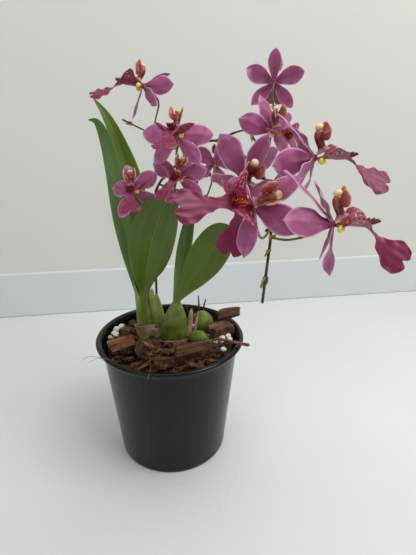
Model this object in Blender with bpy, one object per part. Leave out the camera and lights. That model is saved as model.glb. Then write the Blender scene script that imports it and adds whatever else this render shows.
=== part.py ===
"""Potted orchid: a small nursery pot of bark mix with leafy growths and an arching spray of eleven flowers.

The frame has its origin at the middle of the pot's underside, +Z up. The spray arches over +X and -Y.
Sizes are in metres; MM turns millimetres into metres.
"""

import math
import random

import bpy
import bmesh
from mathutils import Matrix, Vector

MM = 0.001

# Fits
TOUCH_GAP = 0.3 * MM          # between pieces that touch
STEM_GAP = 1.2 * MM           # between a flower's hub and the end of its stem

# Pot
POT_HEIGHT = 95.0 * MM
POT_BASE_RADIUS = 41.5 * MM
POT_NECK_RADIUS = 50.4 * MM   # outside of the wall under the rim
POT_RIM_RADIUS = 55.0 * MM
POT_RIM_WIDTH = 4.2 * MM
POT_RIM_DEPTH = 6.0 * MM      # from the top of the rim down to the neck
POT_WALL = 1.4 * MM
POT_FLOOR = 1.8 * MM
POT_SIDES = 40
DRAIN_HOLE_RADIUS = 4.5 * MM
DRAIN_HOLE_COUNT = 6

# Potting mix
MIX_DROP = 9.0 * MM           # from the top of the rim down to the mix
TABLE_MIX_TOP = 86.0 * MM     # how high the mix stands in the tables of leaves, flowers and stems
CHUNK_ROUGHNESS = 0.06        # how far a chunk's corners stray, as a share of its width

# Flowers: the standard flower, which each flower scales
TEPAL_LENGTH = 22.0 * MM
TEPAL_WIDTH = 10.0 * MM
TEPAL_THICKNESS = 0.9 * MM
TEPAL_SPREAD_CURVE = 0.10     # how far a tepal bows back, as a share of its length
LIP_WIDTH = 17.0 * MM
LIP_THICKNESS = 1.1 * MM
COLUMN_LENGTH = 12.5 * MM
COLUMN_RADIUS = 2.0 * MM
COLUMN_WING_SPAN = 9.6 * MM
COLUMN_WAY = Vector((0, 0.965, -0.26))
COLUMN_FOOT = Vector((0, 1.6, 5.0))  # in mm on the standard flower
COLUMN_ROOT = Vector((0, 1.0, 0.75))  # where it leaves the hub, in mm on the standard flower

# Stems
STALK_RADIUS = 0.95 * MM
BRANCH_RADIUS = 0.75 * MM
PEDICEL_RADIUS = 0.7 * MM
STALK_STEPS = 46
BRANCH_STEPS = 14
PEDICEL_STEPS = 8
FORK_GAP = STALK_RADIUS * 1.4 # extra room where a branch starts, because it leaves at a slant

# Leaves
LEAF_THICKNESS = 1.0 * MM


# ---------------------------------------------------------------- helpers


def clear_scene():
    for item in list(bpy.data.objects):
        bpy.data.objects.remove(item, do_unlink=True)


def material(name, colour, roughness, metallic=0.0):
    finish = bpy.data.materials.get(name) or bpy.data.materials.new(name)
    finish.use_nodes = True
    shader = finish.node_tree.nodes["Principled BSDF"]
    shader.inputs["Base Color"].default_value = (*colour, 1.0)
    shader.inputs["Roughness"].default_value = roughness
    shader.inputs["Metallic"].default_value = metallic
    return finish


def new_object(name, bm, finish, smooth=True):
    mesh = bpy.data.meshes.new(name)
    bmesh.ops.recalc_face_normals(bm, faces=bm.faces)
    bm.to_mesh(mesh)
    bm.free()
    if smooth:
        mesh.shade_smooth()
    mesh.materials.append(finish)
    thing = bpy.data.objects.new(name, mesh)
    bpy.context.scene.collection.objects.link(thing)
    return thing


def add_solidify(thing, thickness):
    solidify = thing.modifiers.new("Thickness", "SOLIDIFY")
    solidify.thickness = thickness
    solidify.offset = 0.0
    solidify.use_even_offset = False


def add_boolean(thing, other, operation):
    cut = thing.modifiers.new(operation.title(), "BOOLEAN")
    cut.operation = operation
    cut.solver = "EXACT"
    cut.object = other
    other.hide_render = True
    other.display_type = "WIRE"


def smooth_points(points, count):
    """Points along a smooth curve through the given ones, evenly shared between them."""
    ends = [points[0] * 2 - points[1]] + list(points) + [points[-1] * 2 - points[-2]]
    spans = len(points) - 1
    out = []
    for step in range(count):
        place = step / (count - 1) * spans
        span = min(int(place), spans - 1)
        t = place - span
        a, b, c, d = ends[span:span + 4]
        out.append(
            0.5 * ((2 * b) + (c - a) * t + (2 * a - 5 * b + 4 * c - d) * t * t
                   + (3 * b - a - 3 * c + d) * t ** 3)
        )
    return out


def loft_strip(rows):
    """A bmesh surface through rows of points, each row with the same number of points."""
    bm = bmesh.new()
    grid = [[bm.verts.new(point) for point in row] for row in rows]
    for lower, upper in zip(grid, grid[1:]):
        for i in range(len(lower) - 1):
            bm.faces.new((lower[i], lower[i + 1], upper[i + 1], upper[i]))
    return bm


def loft_rings(rings):
    """A closed bmesh body through rings of points, capped at both ends."""
    bm = bmesh.new()
    loops = [[bm.verts.new(point) for point in ring] for ring in rings]
    for lower, upper in zip(loops, loops[1:]):
        count = len(lower)
        for i in range(count):
            bm.faces.new((lower[i], lower[(i + 1) % count], upper[(i + 1) % count], upper[i]))
    bm.faces.new(list(reversed(loops[0])))
    bm.faces.new(loops[-1])
    return bm


def ring(centre, across, along, width, depth, sides):
    """An ellipse of points round centre, width and depth being its half sizes."""
    return [
        centre + across * (width * math.cos(turn)) + along * (depth * math.sin(turn))
        for turn in (2 * math.pi * i / sides for i in range(sides))
    ]


# ---------------------------------------------------------------- pot and mix


def wall_radius(height):
    """Outside radius of the pot's wall at a height under the rim."""
    neck = POT_HEIGHT - POT_RIM_DEPTH
    return POT_BASE_RADIUS + (POT_NECK_RADIUS - POT_BASE_RADIUS) * height / neck


def make_pot():
    neck = POT_HEIGHT - POT_RIM_DEPTH
    opening = POT_RIM_RADIUS - POT_RIM_WIDTH
    outline = [
        (0.0, 0.0),
        (POT_BASE_RADIUS - 1.5 * MM, 0.0),
        (POT_BASE_RADIUS, 1.5 * MM),
        (POT_NECK_RADIUS, neck),
        (opening + POT_WALL, POT_HEIGHT - 3.2 * MM),
        (POT_RIM_RADIUS - 1.6 * MM, POT_HEIGHT - 2.9 * MM),
        (POT_RIM_RADIUS - 0.3 * MM, POT_HEIGHT - 2.6 * MM),
        (POT_RIM_RADIUS, POT_HEIGHT - 1.4 * MM),
        (POT_RIM_RADIUS - 0.9 * MM, POT_HEIGHT - 0.3 * MM),
        (POT_RIM_RADIUS - 2.4 * MM, POT_HEIGHT),
        (opening + 1.2 * MM, POT_HEIGHT - 0.4 * MM),
        (opening - 0.2 * MM, POT_HEIGHT - 1.6 * MM),
        (POT_NECK_RADIUS - POT_WALL, neck - 0.4 * MM),
        (wall_radius(POT_FLOOR) - POT_WALL, POT_FLOOR),
        (0.0, POT_FLOOR),
    ]
    bm = bmesh.new()
    line = [bm.verts.new((radius, 0.0, height)) for radius, height in outline]
    edges = [bm.edges.new(pair) for pair in zip(line, line[1:])]
    bmesh.ops.spin(
        bm, geom=line + edges, cent=(0, 0, 0), axis=(0, 0, 1), angle=2 * math.pi,
        steps=POT_SIDES, use_merge=True,
    )
    bmesh.ops.remove_doubles(bm, verts=bm.verts, dist=1e-5)
    pot = new_object("pot", bm, material("pot_plastic", (0.010, 0.011, 0.012), 0.4))
    holes = bmesh.new()
    for i in range(DRAIN_HOLE_COUNT):
        turn = 2 * math.pi * (i + 0.5) / DRAIN_HOLE_COUNT
        away = POT_BASE_RADIUS * 0.62
        place = Matrix.Translation((away * math.cos(turn), away * math.sin(turn), POT_FLOOR / 2))
        bmesh.ops.create_cone(
            holes, cap_ends=True, segments=12, radius1=DRAIN_HOLE_RADIUS,
            radius2=DRAIN_HOLE_RADIUS, depth=POT_FLOOR * 3, matrix=place,
        )
    cutter = new_object("drain_cutter", holes, pot.data.materials[0])
    add_boolean(pot, cutter, "DIFFERENCE")
    pot.data.set_sharp_from_angle(angle=math.radians(40))
    return pot


def mix_top():
    return POT_HEIGHT - MIX_DROP


def planted(point):
    """A point of the tables, given in mm, moved up or down with the top of the mix."""
    return Vector(point) * MM + Vector((0, 0, mix_top() - TABLE_MIX_TOP))


def make_mix():
    low = POT_FLOOR + TOUCH_GAP
    top = mix_top()
    finish = material("potting_mix", (0.045, 0.022, 0.012), 0.95)
    rings = []
    x, y = Vector((1, 0, 0)), Vector((0, 1, 0))
    for height in (low, low + (top - low) * 0.5, top - 1.0 * MM):
        radius = wall_radius(height) - POT_WALL - TOUCH_GAP * 2
        rings.append(ring(Vector((0, 0, height)), x, y, radius, radius, POT_SIDES))
    radius = wall_radius(top) - POT_WALL - 1.2 * MM
    rings.append(ring(Vector((0, 0, top)), x, y, radius, radius, POT_SIDES))
    return new_object("potting_mix", loft_rings(rings), finish)


# Bark and husk chunks: centre (x, y), length, width, depth, turn about Z, tilts about X and Y
CHUNKS = {
    "husk_chunk_left": ((-33, -16), 15, 13, 9, 25, 14, -12),
    "husk_chunk_left_back": ((-36, 8), 11, 7, 8, 80, 14, 8),
    "husk_chunk_middle": ((-14, -24.5), 17, 13, 10, 112, 30, 10),
    "bark_chunk_front": ((-1, -35), 15, 6, 7, 34, -12, 10),
    "bark_chunk_long": ((19, -25), 23, 10, 10, 14, 14, -8),
    "husk_chunk_right_back": ((38, 4), 15, 11, 13, 30, 6, -8),
}


def make_chunks():
    finish = material("bark", (0.16, 0.065, 0.025), 0.9)
    chance = random.Random(7)
    for name, (place, length, width, depth, turn, tilt_x, tilt_y) in CHUNKS.items():
        bm = bmesh.new()
        bmesh.ops.create_cube(bm, size=1.0)
        bmesh.ops.subdivide_edges(bm, edges=bm.edges, cuts=1, use_grid_fill=True)
        bmesh.ops.scale(bm, verts=bm.verts, vec=(length * MM, width * MM, depth * MM))
        stray = CHUNK_ROUGHNESS * width * MM
        for vert in bm.verts:
            vert.co += Vector([chance.uniform(-stray, stray) for _ in range(3)])
        tilt = Matrix.Rotation(math.radians(turn), 4, "Z") @ Matrix.Rotation(
            math.radians(tilt_x), 4, "X") @ Matrix.Rotation(math.radians(tilt_y), 4, "Y")
        bmesh.ops.transform(bm, matrix=tilt, verts=bm.verts)
        lowest = min(vert.co.z for vert in bm.verts)
        thing = new_object(name, bm, finish, smooth=False)
        thing.location = (place[0] * MM, place[1] * MM, mix_top() + TOUCH_GAP - lowest)


def make_rim_flake():
    """A thin bark flake that leans over the rim at the back right."""
    finish = material("bark", (0.16, 0.065, 0.025), 0.9)
    rows = []
    for along, half, lift in ((0, 4, 0), (7, 6, 1.5), (14, 6.5, 2.2), (21, 4.5, 1.2)):
        rows.append([Vector((along * MM, side * half * MM, (lift - abs(side) * 0.8) * MM))
                     for side in (-1, 0, 1)])
    bm = loft_strip(rows)
    thing = new_object("bark_flake", bm, finish, smooth=False)
    add_solidify(thing, 1.6 * MM)
    thing.location = (35.0 * MM, 24.0 * MM, POT_HEIGHT + 4.2 * MM)
    thing.rotation_euler = (math.radians(-10), math.radians(-8), math.radians(-5))


# ---------------------------------------------------------------- bulbs, sheaths and leaves


def make_bulb(name, place, width, depth, height, lean, turn, finish, profile, sides=14):
    """A standing bulb whose cross-sections follow profile, (share of height, share of width) pairs."""
    across = Vector((math.cos(math.radians(turn)), math.sin(math.radians(turn)), 0))
    along = Vector((-across.y, across.x, 0))
    base = Vector((place[0], place[1], 0)) * MM + Vector((0, 0, mix_top() + TOUCH_GAP))
    lean = Vector((*lean, 0)) * MM
    rings = []
    for share, girth in profile:
        centre = base + Vector((0, 0, height * share * MM)) + lean * share ** 1.5
        rings.append(ring(centre, across, along, width * girth * MM / 2, depth * girth * MM / 2, sides))
    return new_object(name, loft_rings(rings), finish)


OVATE = ((0.0, 0.62), (0.12, 0.86), (0.3, 1.0), (0.5, 0.97), (0.7, 0.78), (0.87, 0.5), (1.0, 0.24))
ROUND = ((0.0, 0.7), (0.18, 0.94), (0.42, 1.0), (0.68, 0.84), (0.88, 0.5), (1.0, 0.15))
VASE = ((0.0, 0.6), (0.15, 0.72), (0.4, 0.98), (0.62, 1.0), (0.82, 0.82), (1.0, 0.6))


def make_bulbs():
    green = material("bulb_green", (0.09, 0.17, 0.02), 0.45)
    pale = material("sheath", (0.20, 0.24, 0.06), 0.55)
    make_bulb("bulb_front", (2, 2), 19.5, 14, 34, (3, 1), 8, green, OVATE)
    make_bulb("bulb_back", (24, 19), 19, 15, 19, (0, 0), -10, green, ROUND)
    make_bulb("bulb_small", (21, 2), 18, 12, 11, (1, -2), -20, green, ROUND)
    make_bulb("growth_left", (-20.5, 13), 12.5, 11, 37, (-1, 2), 10, pale, VASE)
    make_bulb("growth_right", (-9.0, 15), 8.5, 7.5, 35, (-2.5, 0.5), 30, pale, OVATE)


# Leaves: stations of (x, y, z, half width) in mm, the way the face looks, and the fold angle in degrees
LEAVES = {
    "leaf_tall": (
        ((-20, 20, 123.6, 2.6), (-22, 26, 148, 7.5), (-26, 32, 180, 10.0), (-31, 38, 207, 9.0),
         (-37, 41, 230, 5.5), (-45, 44, 248, 3.2), (-54, 45, 261, 0.6)),
        (0.25, -1.0, 0.15), 20),
    "leaf_tall_side": (
        ((-25.5, 15, 123.6, 2.0), (-29, 17, 150, 6.0), (-34, 20, 180, 7.0), (-38, 24, 210, 6.5),
         (-43, 28, 232, 4.6), (-48, 28, 244, 2.4), (-54, 27, 246, 0.6)),
        (-0.15, -1.0, 0.1), 16),
    "leaf_broad": (
        ((-20, 12, 123.6, 2.8), (-18, 9, 138, 8.5), (-15, 6, 150, 13.5), (-11, 2, 166, 16.2),
         (-4, -2, 186, 14.0), (3, -5, 199, 7.5), (7, -6, 206, 0.8)),
        (0.0, -1.0, 0.25), 16),
    "leaf_narrow": (
        ((4.5, 5.2, 121, 1.6), (8.0, 12, 140, 4.6), (12, 18, 160, 5.6), (16, 21, 182, 3.8),
         (19, 23, 200, 2.6), (21, 25, 214, 0.6)),
        (-0.35, -1.0, 0.1), 22),
    "leaf_right": (
        ((6.0, 2, 121, 1.8), (12, 1, 131, 6.0), (20, -2, 144, 11.0), (29, -7, 159, 14.0),
         (36, -11, 170, 13.0), (41, -14, 178, 8.0), (43.5, -15.5, 182, 0.8)),
        (-0.35, -1.0, 0.55), 14),
}
LEAF_ROWS = 13


def make_leaves():
    finish = material("leaf", (0.06, 0.15, 0.015), 0.45)
    for name, (stations, facing, fold) in LEAVES.items():
        points = smooth_points([planted(station[:3]) for station in stations], LEAF_ROWS)
        halves = smooth_points([Vector((station[3], 0, 0)) * MM for station in stations], LEAF_ROWS)
        facing = Vector(facing).normalized()
        rise = math.tan(math.radians(fold))
        rows = []
        for i, point in enumerate(points):
            way = points[min(i + 1, LEAF_ROWS - 1)] - points[max(i - 1, 0)]
            across = way.cross(facing).normalized()
            out = across.cross(way).normalized()
            half = max(halves[i].x, 0.5 * MM)
            rows.append([point + across * half * share + out * half * abs(share) * rise
                         for share in (-1.0, -0.5, 0.0, 0.5, 1.0)])
        bm = loft_strip(rows)
        add_solidify(new_object(name, bm, finish), LEAF_THICKNESS)


# ---------------------------------------------------------------- flowers

# Each flower: hub (mm), size, the way its face looks, the way its column points, and for each tepal
# its angle round the face (0 is the flower's right, 90 its column) and how far it is swept back, degrees.
# The tepals are the dorsal sepal, right petal, left petal, right sepal and left sepal.
FLOWERS = (
    ((-15, 26, 267), 1.00, (-1.0, -0.10, 0.20), (0.10, 0.30, 0.95),
     ((110, 40), (4, 56), (-172, 20), (-50, 24), (-105, -15))),
    ((8, 8, 237), 1.08, (-0.15, -0.97, 0.35), (0.05, 0.20, 1.00),
     ((70, 45), (5, 8), (178, 0), (-47, 8), (-128, 0))),
    ((8, 8, 210), 0.95, (-0.10, -0.97, 0.15), (0.30, 0.10, 0.95),
     ((82, 40), (31, 8), (170, 10), (-22, 0), (-112, 10))),
    ((-22, 1, 202), 0.92, (0.05, -1.0, 0.25), (-0.10, 0.20, 1.00),
     ((97, 20), (32, 2), (162, 35), (-34, 4), (-122, 2))),
    ((65, -30, 240), 0.95, (0.55, -0.80, -0.10), (-0.15, 0.0, 1.00),
     ((95, 20), (11, 8), (155, 20), (-42, 2), (-125, 0))),
    ((66, -18, 266), 0.78, (0.20, 0.97, 0.10), (0.07, 0.0, 1.00),
     ((86, 0), (20, -4), (156, -4), (-48, 0), (-134, 0))),
    ((77, -83, 230), 1.02, (0.98, -0.15, 0.08), (-0.05, 0.0, 1.00),
     ((89, 32), (-175, 52), (33, 18), (-146, 24), (-52, 4))),
    ((80, -111, 206), 1.0, (0.97, -0.20, 0.10), (-0.10, 0.0, 1.00),
     ((92, 32), (150, 58), (50, 12), (-100, 2), (-62, 8))),
    ((48, -98, 211), 1.06, (-0.58, -0.75, 0.32), (0.85, -0.40, 0.40),
     ((106, 6), (48, 22), (176, 40), (-28, 0), (-145, 8))),
    ((46, -71, 219), 1.10, (-0.05, -0.74, -0.64), (0.30, -0.35, 0.90),
     ((72, 32), (30, 40), (150, 36), (-58, 20), (-124, 20))),
    ((33, 20, 217), 0.85, (-0.20, 0.95, 0.10), (0.30, 0.0, 1.00),
     ((93, 4), (20, 0), (155, 0), (-48, -2), (-132, 0))),
)

TEPAL_STATIONS = (0.16, 0.36, 0.6, 0.83, 1.0)
TEPAL_OUTLINE = (0.34, 0.78, 1.0, 0.74, 0.16)

# Lip: (down, out, half width share, cup) along its middle line, in mm on the standard flower
LIP_STATIONS = (
    (-0.6, 0.75, 0.16, 0.0),
    (-0.6, 3.0, 0.22, 0.0),
    (-0.7, 6.0, 0.85, 1.4),
    (-1.0, 9.5, 1.35, 2.8),
    (-1.8, 13.2, 0.80, 1.6),
    (-4.6, 16.4, 0.30, 0.4),
    (-8.2, 19.2, 0.30, 0.2),
    (-11.4, 22.8, 0.64, -0.6),
    (-14.2, 26.8, 0.82, -1.2),
    (-16.4, 30.0, 0.50, -1.2),
)


def flower_frame(hub, facing, top):
    """The matrix that takes a flower's own axes, x right, y to its column and z out, to the world."""
    out = Vector(facing).normalized()
    up = Vector(top)
    up = (up - out * up.dot(out)).normalized()
    right = up.cross(out)
    frame = Matrix((right, up, out)).transposed().to_4x4()
    frame.translation = planted(hub)
    return frame


def tepal_point(angle, sweep, along, across):
    """A point of a tepal in the flower's axes, along and across being in metres."""
    turn, back = math.radians(angle), math.radians(sweep)
    outward = Vector((math.cos(turn) * math.cos(back), math.sin(turn) * math.cos(back), -math.sin(back)))
    side = Vector((-math.sin(turn), math.cos(turn), 0))
    face = outward.cross(side)
    bow = TEPAL_SPREAD_CURVE * TEPAL_LENGTH * (along / TEPAL_LENGTH) ** 2
    return outward * along + side * across - face * bow


def make_tepals(name, size, tepals, finish):
    """Five tepals joined at a small round hub, one surface given a thickness."""
    bm = bmesh.new()
    order = sorted(tepals, key=lambda tepal: tepal[0] % 360)
    centre = bm.verts.new((0, 0, 0))
    starts = []
    for angle, sweep in order:
        rows = []
        for share, girth in zip(TEPAL_STATIONS, TEPAL_OUTLINE):
            reach = TEPAL_LENGTH * size * share
            wide = TEPAL_WIDTH / 2 * girth * size
            rows.append([bm.verts.new(tepal_point(angle, sweep, reach, side * wide))
                         for side in (-1, 0, 1)])
        for lower, upper in zip(rows, rows[1:]):
            for i in range(2):
                bm.faces.new((lower[i], lower[i + 1], upper[i + 1], upper[i]))
        starts.append(rows[0])
    count = len(starts)
    for i in range(count):
        here, after = starts[i], starts[(i + 1) % count]
        bm.faces.new((centre, here[0], here[1]))
        bm.faces.new((centre, here[1], here[2]))
        bm.faces.new((centre, here[2], after[0]))
    thing = new_object(name, bm, finish)
    add_solidify(thing, TEPAL_THICKNESS * size)
    return thing


def make_lip(name, size, finish):
    rows = []
    for down, out, girth, cup in LIP_STATIONS:
        half = LIP_WIDTH / 2 * girth * size
        rows.append([
            Vector((side * half, (down + cup * side * side) * MM * size, out * MM * size))
            for side in (-1.0, -0.5, 0.0, 0.5, 1.0)
        ])
    bm = loft_strip(rows)
    thing = new_object(name, bm, finish)
    add_solidify(thing, LIP_THICKNESS * size)
    return thing


def make_column(name, size, finish):
    """The column rises from just above the hub, spreads into two wings and ends in a round cap."""
    way = COLUMN_WAY.normalized()
    across = Vector((1, 0, 0))
    depth = way.cross(across).normalized()
    start = COLUMN_FOOT * MM * size
    root_half, root_deep = COLUMN_RADIUS * 0.6 * size, COLUMN_RADIUS * 0.45 * size
    rings = [ring(COLUMN_ROOT * MM * size, across, Vector((0, 1, 0)), root_half, root_deep, 8)]
    shape = ((0.0, 0.8, 0.8), (0.25, 1.05, 1.0), (0.5, 1.1, 1.0), (0.6, 0.0, 0.8), (0.82, 0.0, 0.7),
             (0.92, 1.0, 0.95), (1.0, 0.45, 0.5))
    for share, wide, deep in shape:
        half = COLUMN_WING_SPAN / 2 if wide == 0.0 else COLUMN_RADIUS * wide
        centre = start + way * (COLUMN_LENGTH * share * size)
        rings.append(ring(centre, across, depth, half * size, COLUMN_RADIUS * deep * size, 8))
    return new_object(name, loft_rings(rings), finish)


def make_flowers():
    tepal_finish = material("tepal", (0.30, 0.065, 0.18), 0.5)
    lip_finish = material("lip", (0.27, 0.025, 0.10), 0.5)
    column_finish = material("column", (0.35, 0.08, 0.05), 0.5)
    for number, (hub, size, facing, top, tepals) in enumerate(FLOWERS, 1):
        frame = flower_frame(hub, facing, top)
        name = f"flower_{number:02d}"
        for piece in (
            make_tepals(f"{name}_tepals", size, tepals, tepal_finish),
            make_lip(f"{name}_lip", size, lip_finish),
            make_column(f"{name}_column", size, column_finish),
        ):
            piece.matrix_world = frame


# ---------------------------------------------------------------- stems

# Routes in mm. A stem that starts on another names it, and starts a gap clear of it.
MAIN_STALK = (
    (-12, 26, 87), (-12.5, 25, 105), (-12, 23, 130), (-11.5, 23, 155), (-12, 27, 183), (-8, 31, 201),
    (5, 30, 215), (20, 24, 229), (34, 10, 233), (45, -8, 229), (55.5, -27, 221), (61.5, -49, 212),
    (61, -66, 204), (60, -76, 192), (58, -82, 177), (56, -86, 159),
)
SIDE_BRANCHES = {
    "branch_left": ((20, 24, 229), (8, 30, 230), (-6, 35, 233), (-18, 38, 239), (-33, 40, 246)),
    "branch_upper": ((34, 10, 233), (42, 2, 237), (51, -9, 240), (55, -15, 237)),
    "branch_lower": ((-8, 31, 201), (4, 31, 198), (16, 28, 195), (27, 21, 193)),
    "branch_top": ((61, -54, 212), (68, -47, 218), (68, -31, 221.5), (72, -19, 229),
                   (72, -11, 242), (67, -15, 253)),
}
# The stem that carries each flower, the point it leaves from and points between, in mm
PEDICELS = (
    ("branch_left", (-12, 36, 236), (-9, 38, 246), (-6, 33, 258)),
    ("branch_left", (8, 30, 230), (6, 26, 223), (7, 17, 227)),
    ("flower_stalk", (5, 30, 215), (6, 24, 211)),
    ("flower_stalk", (-12, 28, 188), (-18, 20, 193)),
    ("branch_upper", (55, -15, 237), (58, -19, 233), (61, -24, 236)),
    ("branch_top", (67, -15, 253), (65, -21, 259)),
    ("flower_stalk", (60, -52, 211), (64, -62, 219), (69, -74, 226)),
    ("flower_stalk", (60, -76, 191), (67, -85, 192), (73, -99, 198)),
    ("flower_stalk", (60, -74, 195), (55, -82, 192), (51, -90, 199)),
    ("flower_stalk", (58.5, -41, 215.5), (54, -54, 219)),
    ("branch_lower", (27, 21, 193), (30, 14, 202), (32.5, 14, 212)),
)


def make_tube(name, route, radius, finish):
    curve = bpy.data.curves.new(name, "CURVE")
    curve.dimensions = "3D"
    curve.bevel_depth = radius
    curve.bevel_resolution = 1
    curve.use_fill_caps = True
    spline = curve.splines.new("POLY")
    spline.points.add(len(route) - 1)
    for spot, point in zip(spline.points, route):
        spot.co = (*point, 1.0)
    guide = bpy.data.objects.new(name + "_route", curve)
    bpy.context.scene.collection.objects.link(guide)
    bpy.context.view_layer.update()
    mesh = bpy.data.meshes.new_from_object(guide.evaluated_get(bpy.context.evaluated_depsgraph_get()))
    bpy.data.objects.remove(guide, do_unlink=True)
    mesh.shade_smooth()
    mesh.materials.clear()
    mesh.materials.append(finish)
    thing = bpy.data.objects.new(name, mesh)
    bpy.context.scene.collection.objects.link(thing)
    return thing


def on_stem(routes, carrier, point):
    """The point of the carrier's centre line that lies nearest to point."""
    return min(routes[carrier], key=lambda spot: (spot - point).length)


def make_stems():
    finish = material("stalk", (0.045, 0.03, 0.012), 0.55)
    main_route = smooth_points([planted(point) for point in MAIN_STALK], STALK_STEPS)
    stems = {"flower_stalk": make_tube("flower_stalk", main_route, STALK_RADIUS, finish)}
    routes = {"flower_stalk": main_route}
    clear = STALK_RADIUS + FORK_GAP + BRANCH_RADIUS + TOUCH_GAP
    for name, points in SIDE_BRANCHES.items():
        route = [planted(point) for point in points]
        route[0] = on_stem(routes, "flower_stalk", route[0])
        route[0] += (route[1] - route[0]).normalized() * clear
        routes[name] = smooth_points(route, BRANCH_STEPS)
        stems[name] = make_tube(name, routes[name], BRANCH_RADIUS, finish)
    for number, (carrier, *points) in enumerate(PEDICELS, 1):
        hub, _, facing = FLOWERS[number - 1][:3]
        route = [planted(point) for point in points]
        route[0] = on_stem(routes, carrier, route[0])
        route.append(planted(hub) - Vector(facing).normalized() * STEM_GAP)
        pedicel = smooth_points(route, PEDICEL_STEPS)
        stem = make_tube(f"pedicel_{number:02d}", pedicel, PEDICEL_RADIUS, finish)
        add_boolean(stems[carrier], stem, "UNION")


def main():
    clear_scene()
    make_pot()
    make_mix()
    make_chunks()
    make_rim_flake()
    make_bulbs()
    make_leaves()
    make_flowers()
    make_stems()


main()
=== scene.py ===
import math
import random

import bpy
from mathutils import Matrix, Vector, noise


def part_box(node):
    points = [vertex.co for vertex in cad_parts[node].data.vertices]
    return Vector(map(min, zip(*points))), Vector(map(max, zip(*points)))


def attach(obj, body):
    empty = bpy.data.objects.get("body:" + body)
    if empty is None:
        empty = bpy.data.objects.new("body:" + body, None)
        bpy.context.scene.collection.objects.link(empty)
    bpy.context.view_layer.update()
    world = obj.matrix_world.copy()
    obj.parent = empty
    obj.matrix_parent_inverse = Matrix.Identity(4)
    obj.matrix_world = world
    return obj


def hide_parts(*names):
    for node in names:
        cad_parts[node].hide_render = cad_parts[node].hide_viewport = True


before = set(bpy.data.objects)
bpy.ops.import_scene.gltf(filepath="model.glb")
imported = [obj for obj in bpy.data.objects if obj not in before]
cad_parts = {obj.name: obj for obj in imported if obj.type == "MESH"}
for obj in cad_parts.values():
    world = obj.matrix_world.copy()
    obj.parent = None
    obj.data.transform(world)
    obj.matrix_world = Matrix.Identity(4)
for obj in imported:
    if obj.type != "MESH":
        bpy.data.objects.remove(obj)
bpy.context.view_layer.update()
mm = 0.001
print("frame loaded,", len(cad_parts), "parts to dress")


# --- shader maths as plain expressions ---

class Wire:
    def __init__(self, tree, socket=None):
        self.tree = tree
        self.socket = socket

    def node(self, kind, settings=None, links=None, out=0):
        made = self.tree.nodes.new(kind)
        for key, value in (settings or {}).items():
            if key == "stops":
                ramp = made.color_ramp
                while len(ramp.elements) < len(value):
                    ramp.elements.new(1.0)
                for stop, (spot, colour) in zip(ramp.elements, value):
                    stop.position = spot
                    stop.color = colour
            else:
                setattr(made, key, value)
        for key, value in (links or {}).items():
            if isinstance(value, Wire):
                self.tree.links.new(value.socket, made.inputs[key])
            else:
                made.inputs[key].default_value = value
        return Wire(self.tree, made.outputs[out])

    def math(self, operation, first, second=0.0):
        return self.node("ShaderNodeMath", {"operation": operation}, {0: first, 1: second})

    def __add__(self, other):
        return self.math("ADD", self, other)

    def __radd__(self, other):
        return self.math("ADD", other, self)

    def __sub__(self, other):
        return self.math("SUBTRACT", self, other)

    def __rsub__(self, other):
        return self.math("SUBTRACT", other, self)

    def __mul__(self, other):
        return self.math("MULTIPLY", self, other)

    def __abs__(self):
        return self.math("ABSOLUTE", self)

    def sine(self):
        return self.math("SINE", self)

    def between(self, low, high):
        # 0 at low, 1 at high, smooth in between
        return self.node("ShaderNodeMapRange", {"interpolation_type": "SMOOTHSTEP"},
                         {"Value": self, "From Min": low, "From Max": high})

    def ramp(self, *stops):
        return self.node("ShaderNodeValToRGB", {"stops": stops}, {"Fac": self})

    def mix(self, first, second):
        # self is the share of the second colour
        return self.node("ShaderNodeMix", {"data_type": "RGBA"}, {0: self, 6: first, 7: second}, out=2)

    def noise(self, coords, scale, detail=4.0, stretch=None):
        if stretch:
            coords = self.node("ShaderNodeMapping", None, {"Vector": coords, "Scale": stretch})
        return self.node("ShaderNodeTexNoise", None, {"Vector": coords, "Scale": scale, "Detail": detail})

    def cells(self, coords, scale):
        return self.node("ShaderNodeTexVoronoi", None, {"Vector": coords, "Scale": scale})


def paint(red, green, blue):
    # a colour given 0 to 255, turned into what the shader wants
    return tuple((c / 255 / 12.92 if c < 10 else ((c / 255 + 0.055) / 1.055) ** 2.4)
                 for c in (red, green, blue)) + (1.0,)


def startFinish(name, roughness, **fixed):
    made = bpy.data.materials.new(name)
    made.use_nodes = True
    shader = made.node_tree.nodes["Principled BSDF"]
    shader.inputs["Roughness"].default_value = roughness
    for key, value in fixed.items():
        shader.inputs[key.replace("_", " ")].default_value = value
    wire = Wire(made.node_tree)
    spots = wire.node("ShaderNodeTexCoord", out="Object")
    across = wire.node("ShaderNodeTexCoord", out="UV")
    return made, shader, wire, spots, across


def splitUv(wire, across):
    both = wire.node("ShaderNodeSeparateXYZ", None, {0: across})
    return both, Wire(wire.tree, both.socket.node.outputs[1])


def plug(wire, shader, colour=None, roughness=None, bump=None, strength=0.3, depth=0.0003):
    if colour is not None:
        wire.tree.links.new(colour.socket, shader.inputs["Base Color"])
    if roughness is not None:
        wire.tree.links.new(roughness.socket, shader.inputs["Roughness"])
    if bump is not None:
        made = wire.node("ShaderNodeBump", None, {"Height": bump, "Strength": strength, "Distance": depth})
        wire.tree.links.new(made.socket, shader.inputs["Normal"])


def makeMottledFinish(name, roughness, scale, detail, low, high, first, second, **bump):
    finish, shader, wire, spots, _ = startFinish(name, roughness)
    tone = wire.noise(spots, scale, detail)
    plug(wire, shader, tone.between(low, high).mix(first, second), None, tone, **bump)
    return finish


# --- modelling helpers ---

def clearSelection():
    if bpy.context.object and bpy.context.object.mode != "OBJECT":
        bpy.ops.object.mode_set(mode="OBJECT")
    bpy.ops.object.select_all(action="DESELECT")


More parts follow.
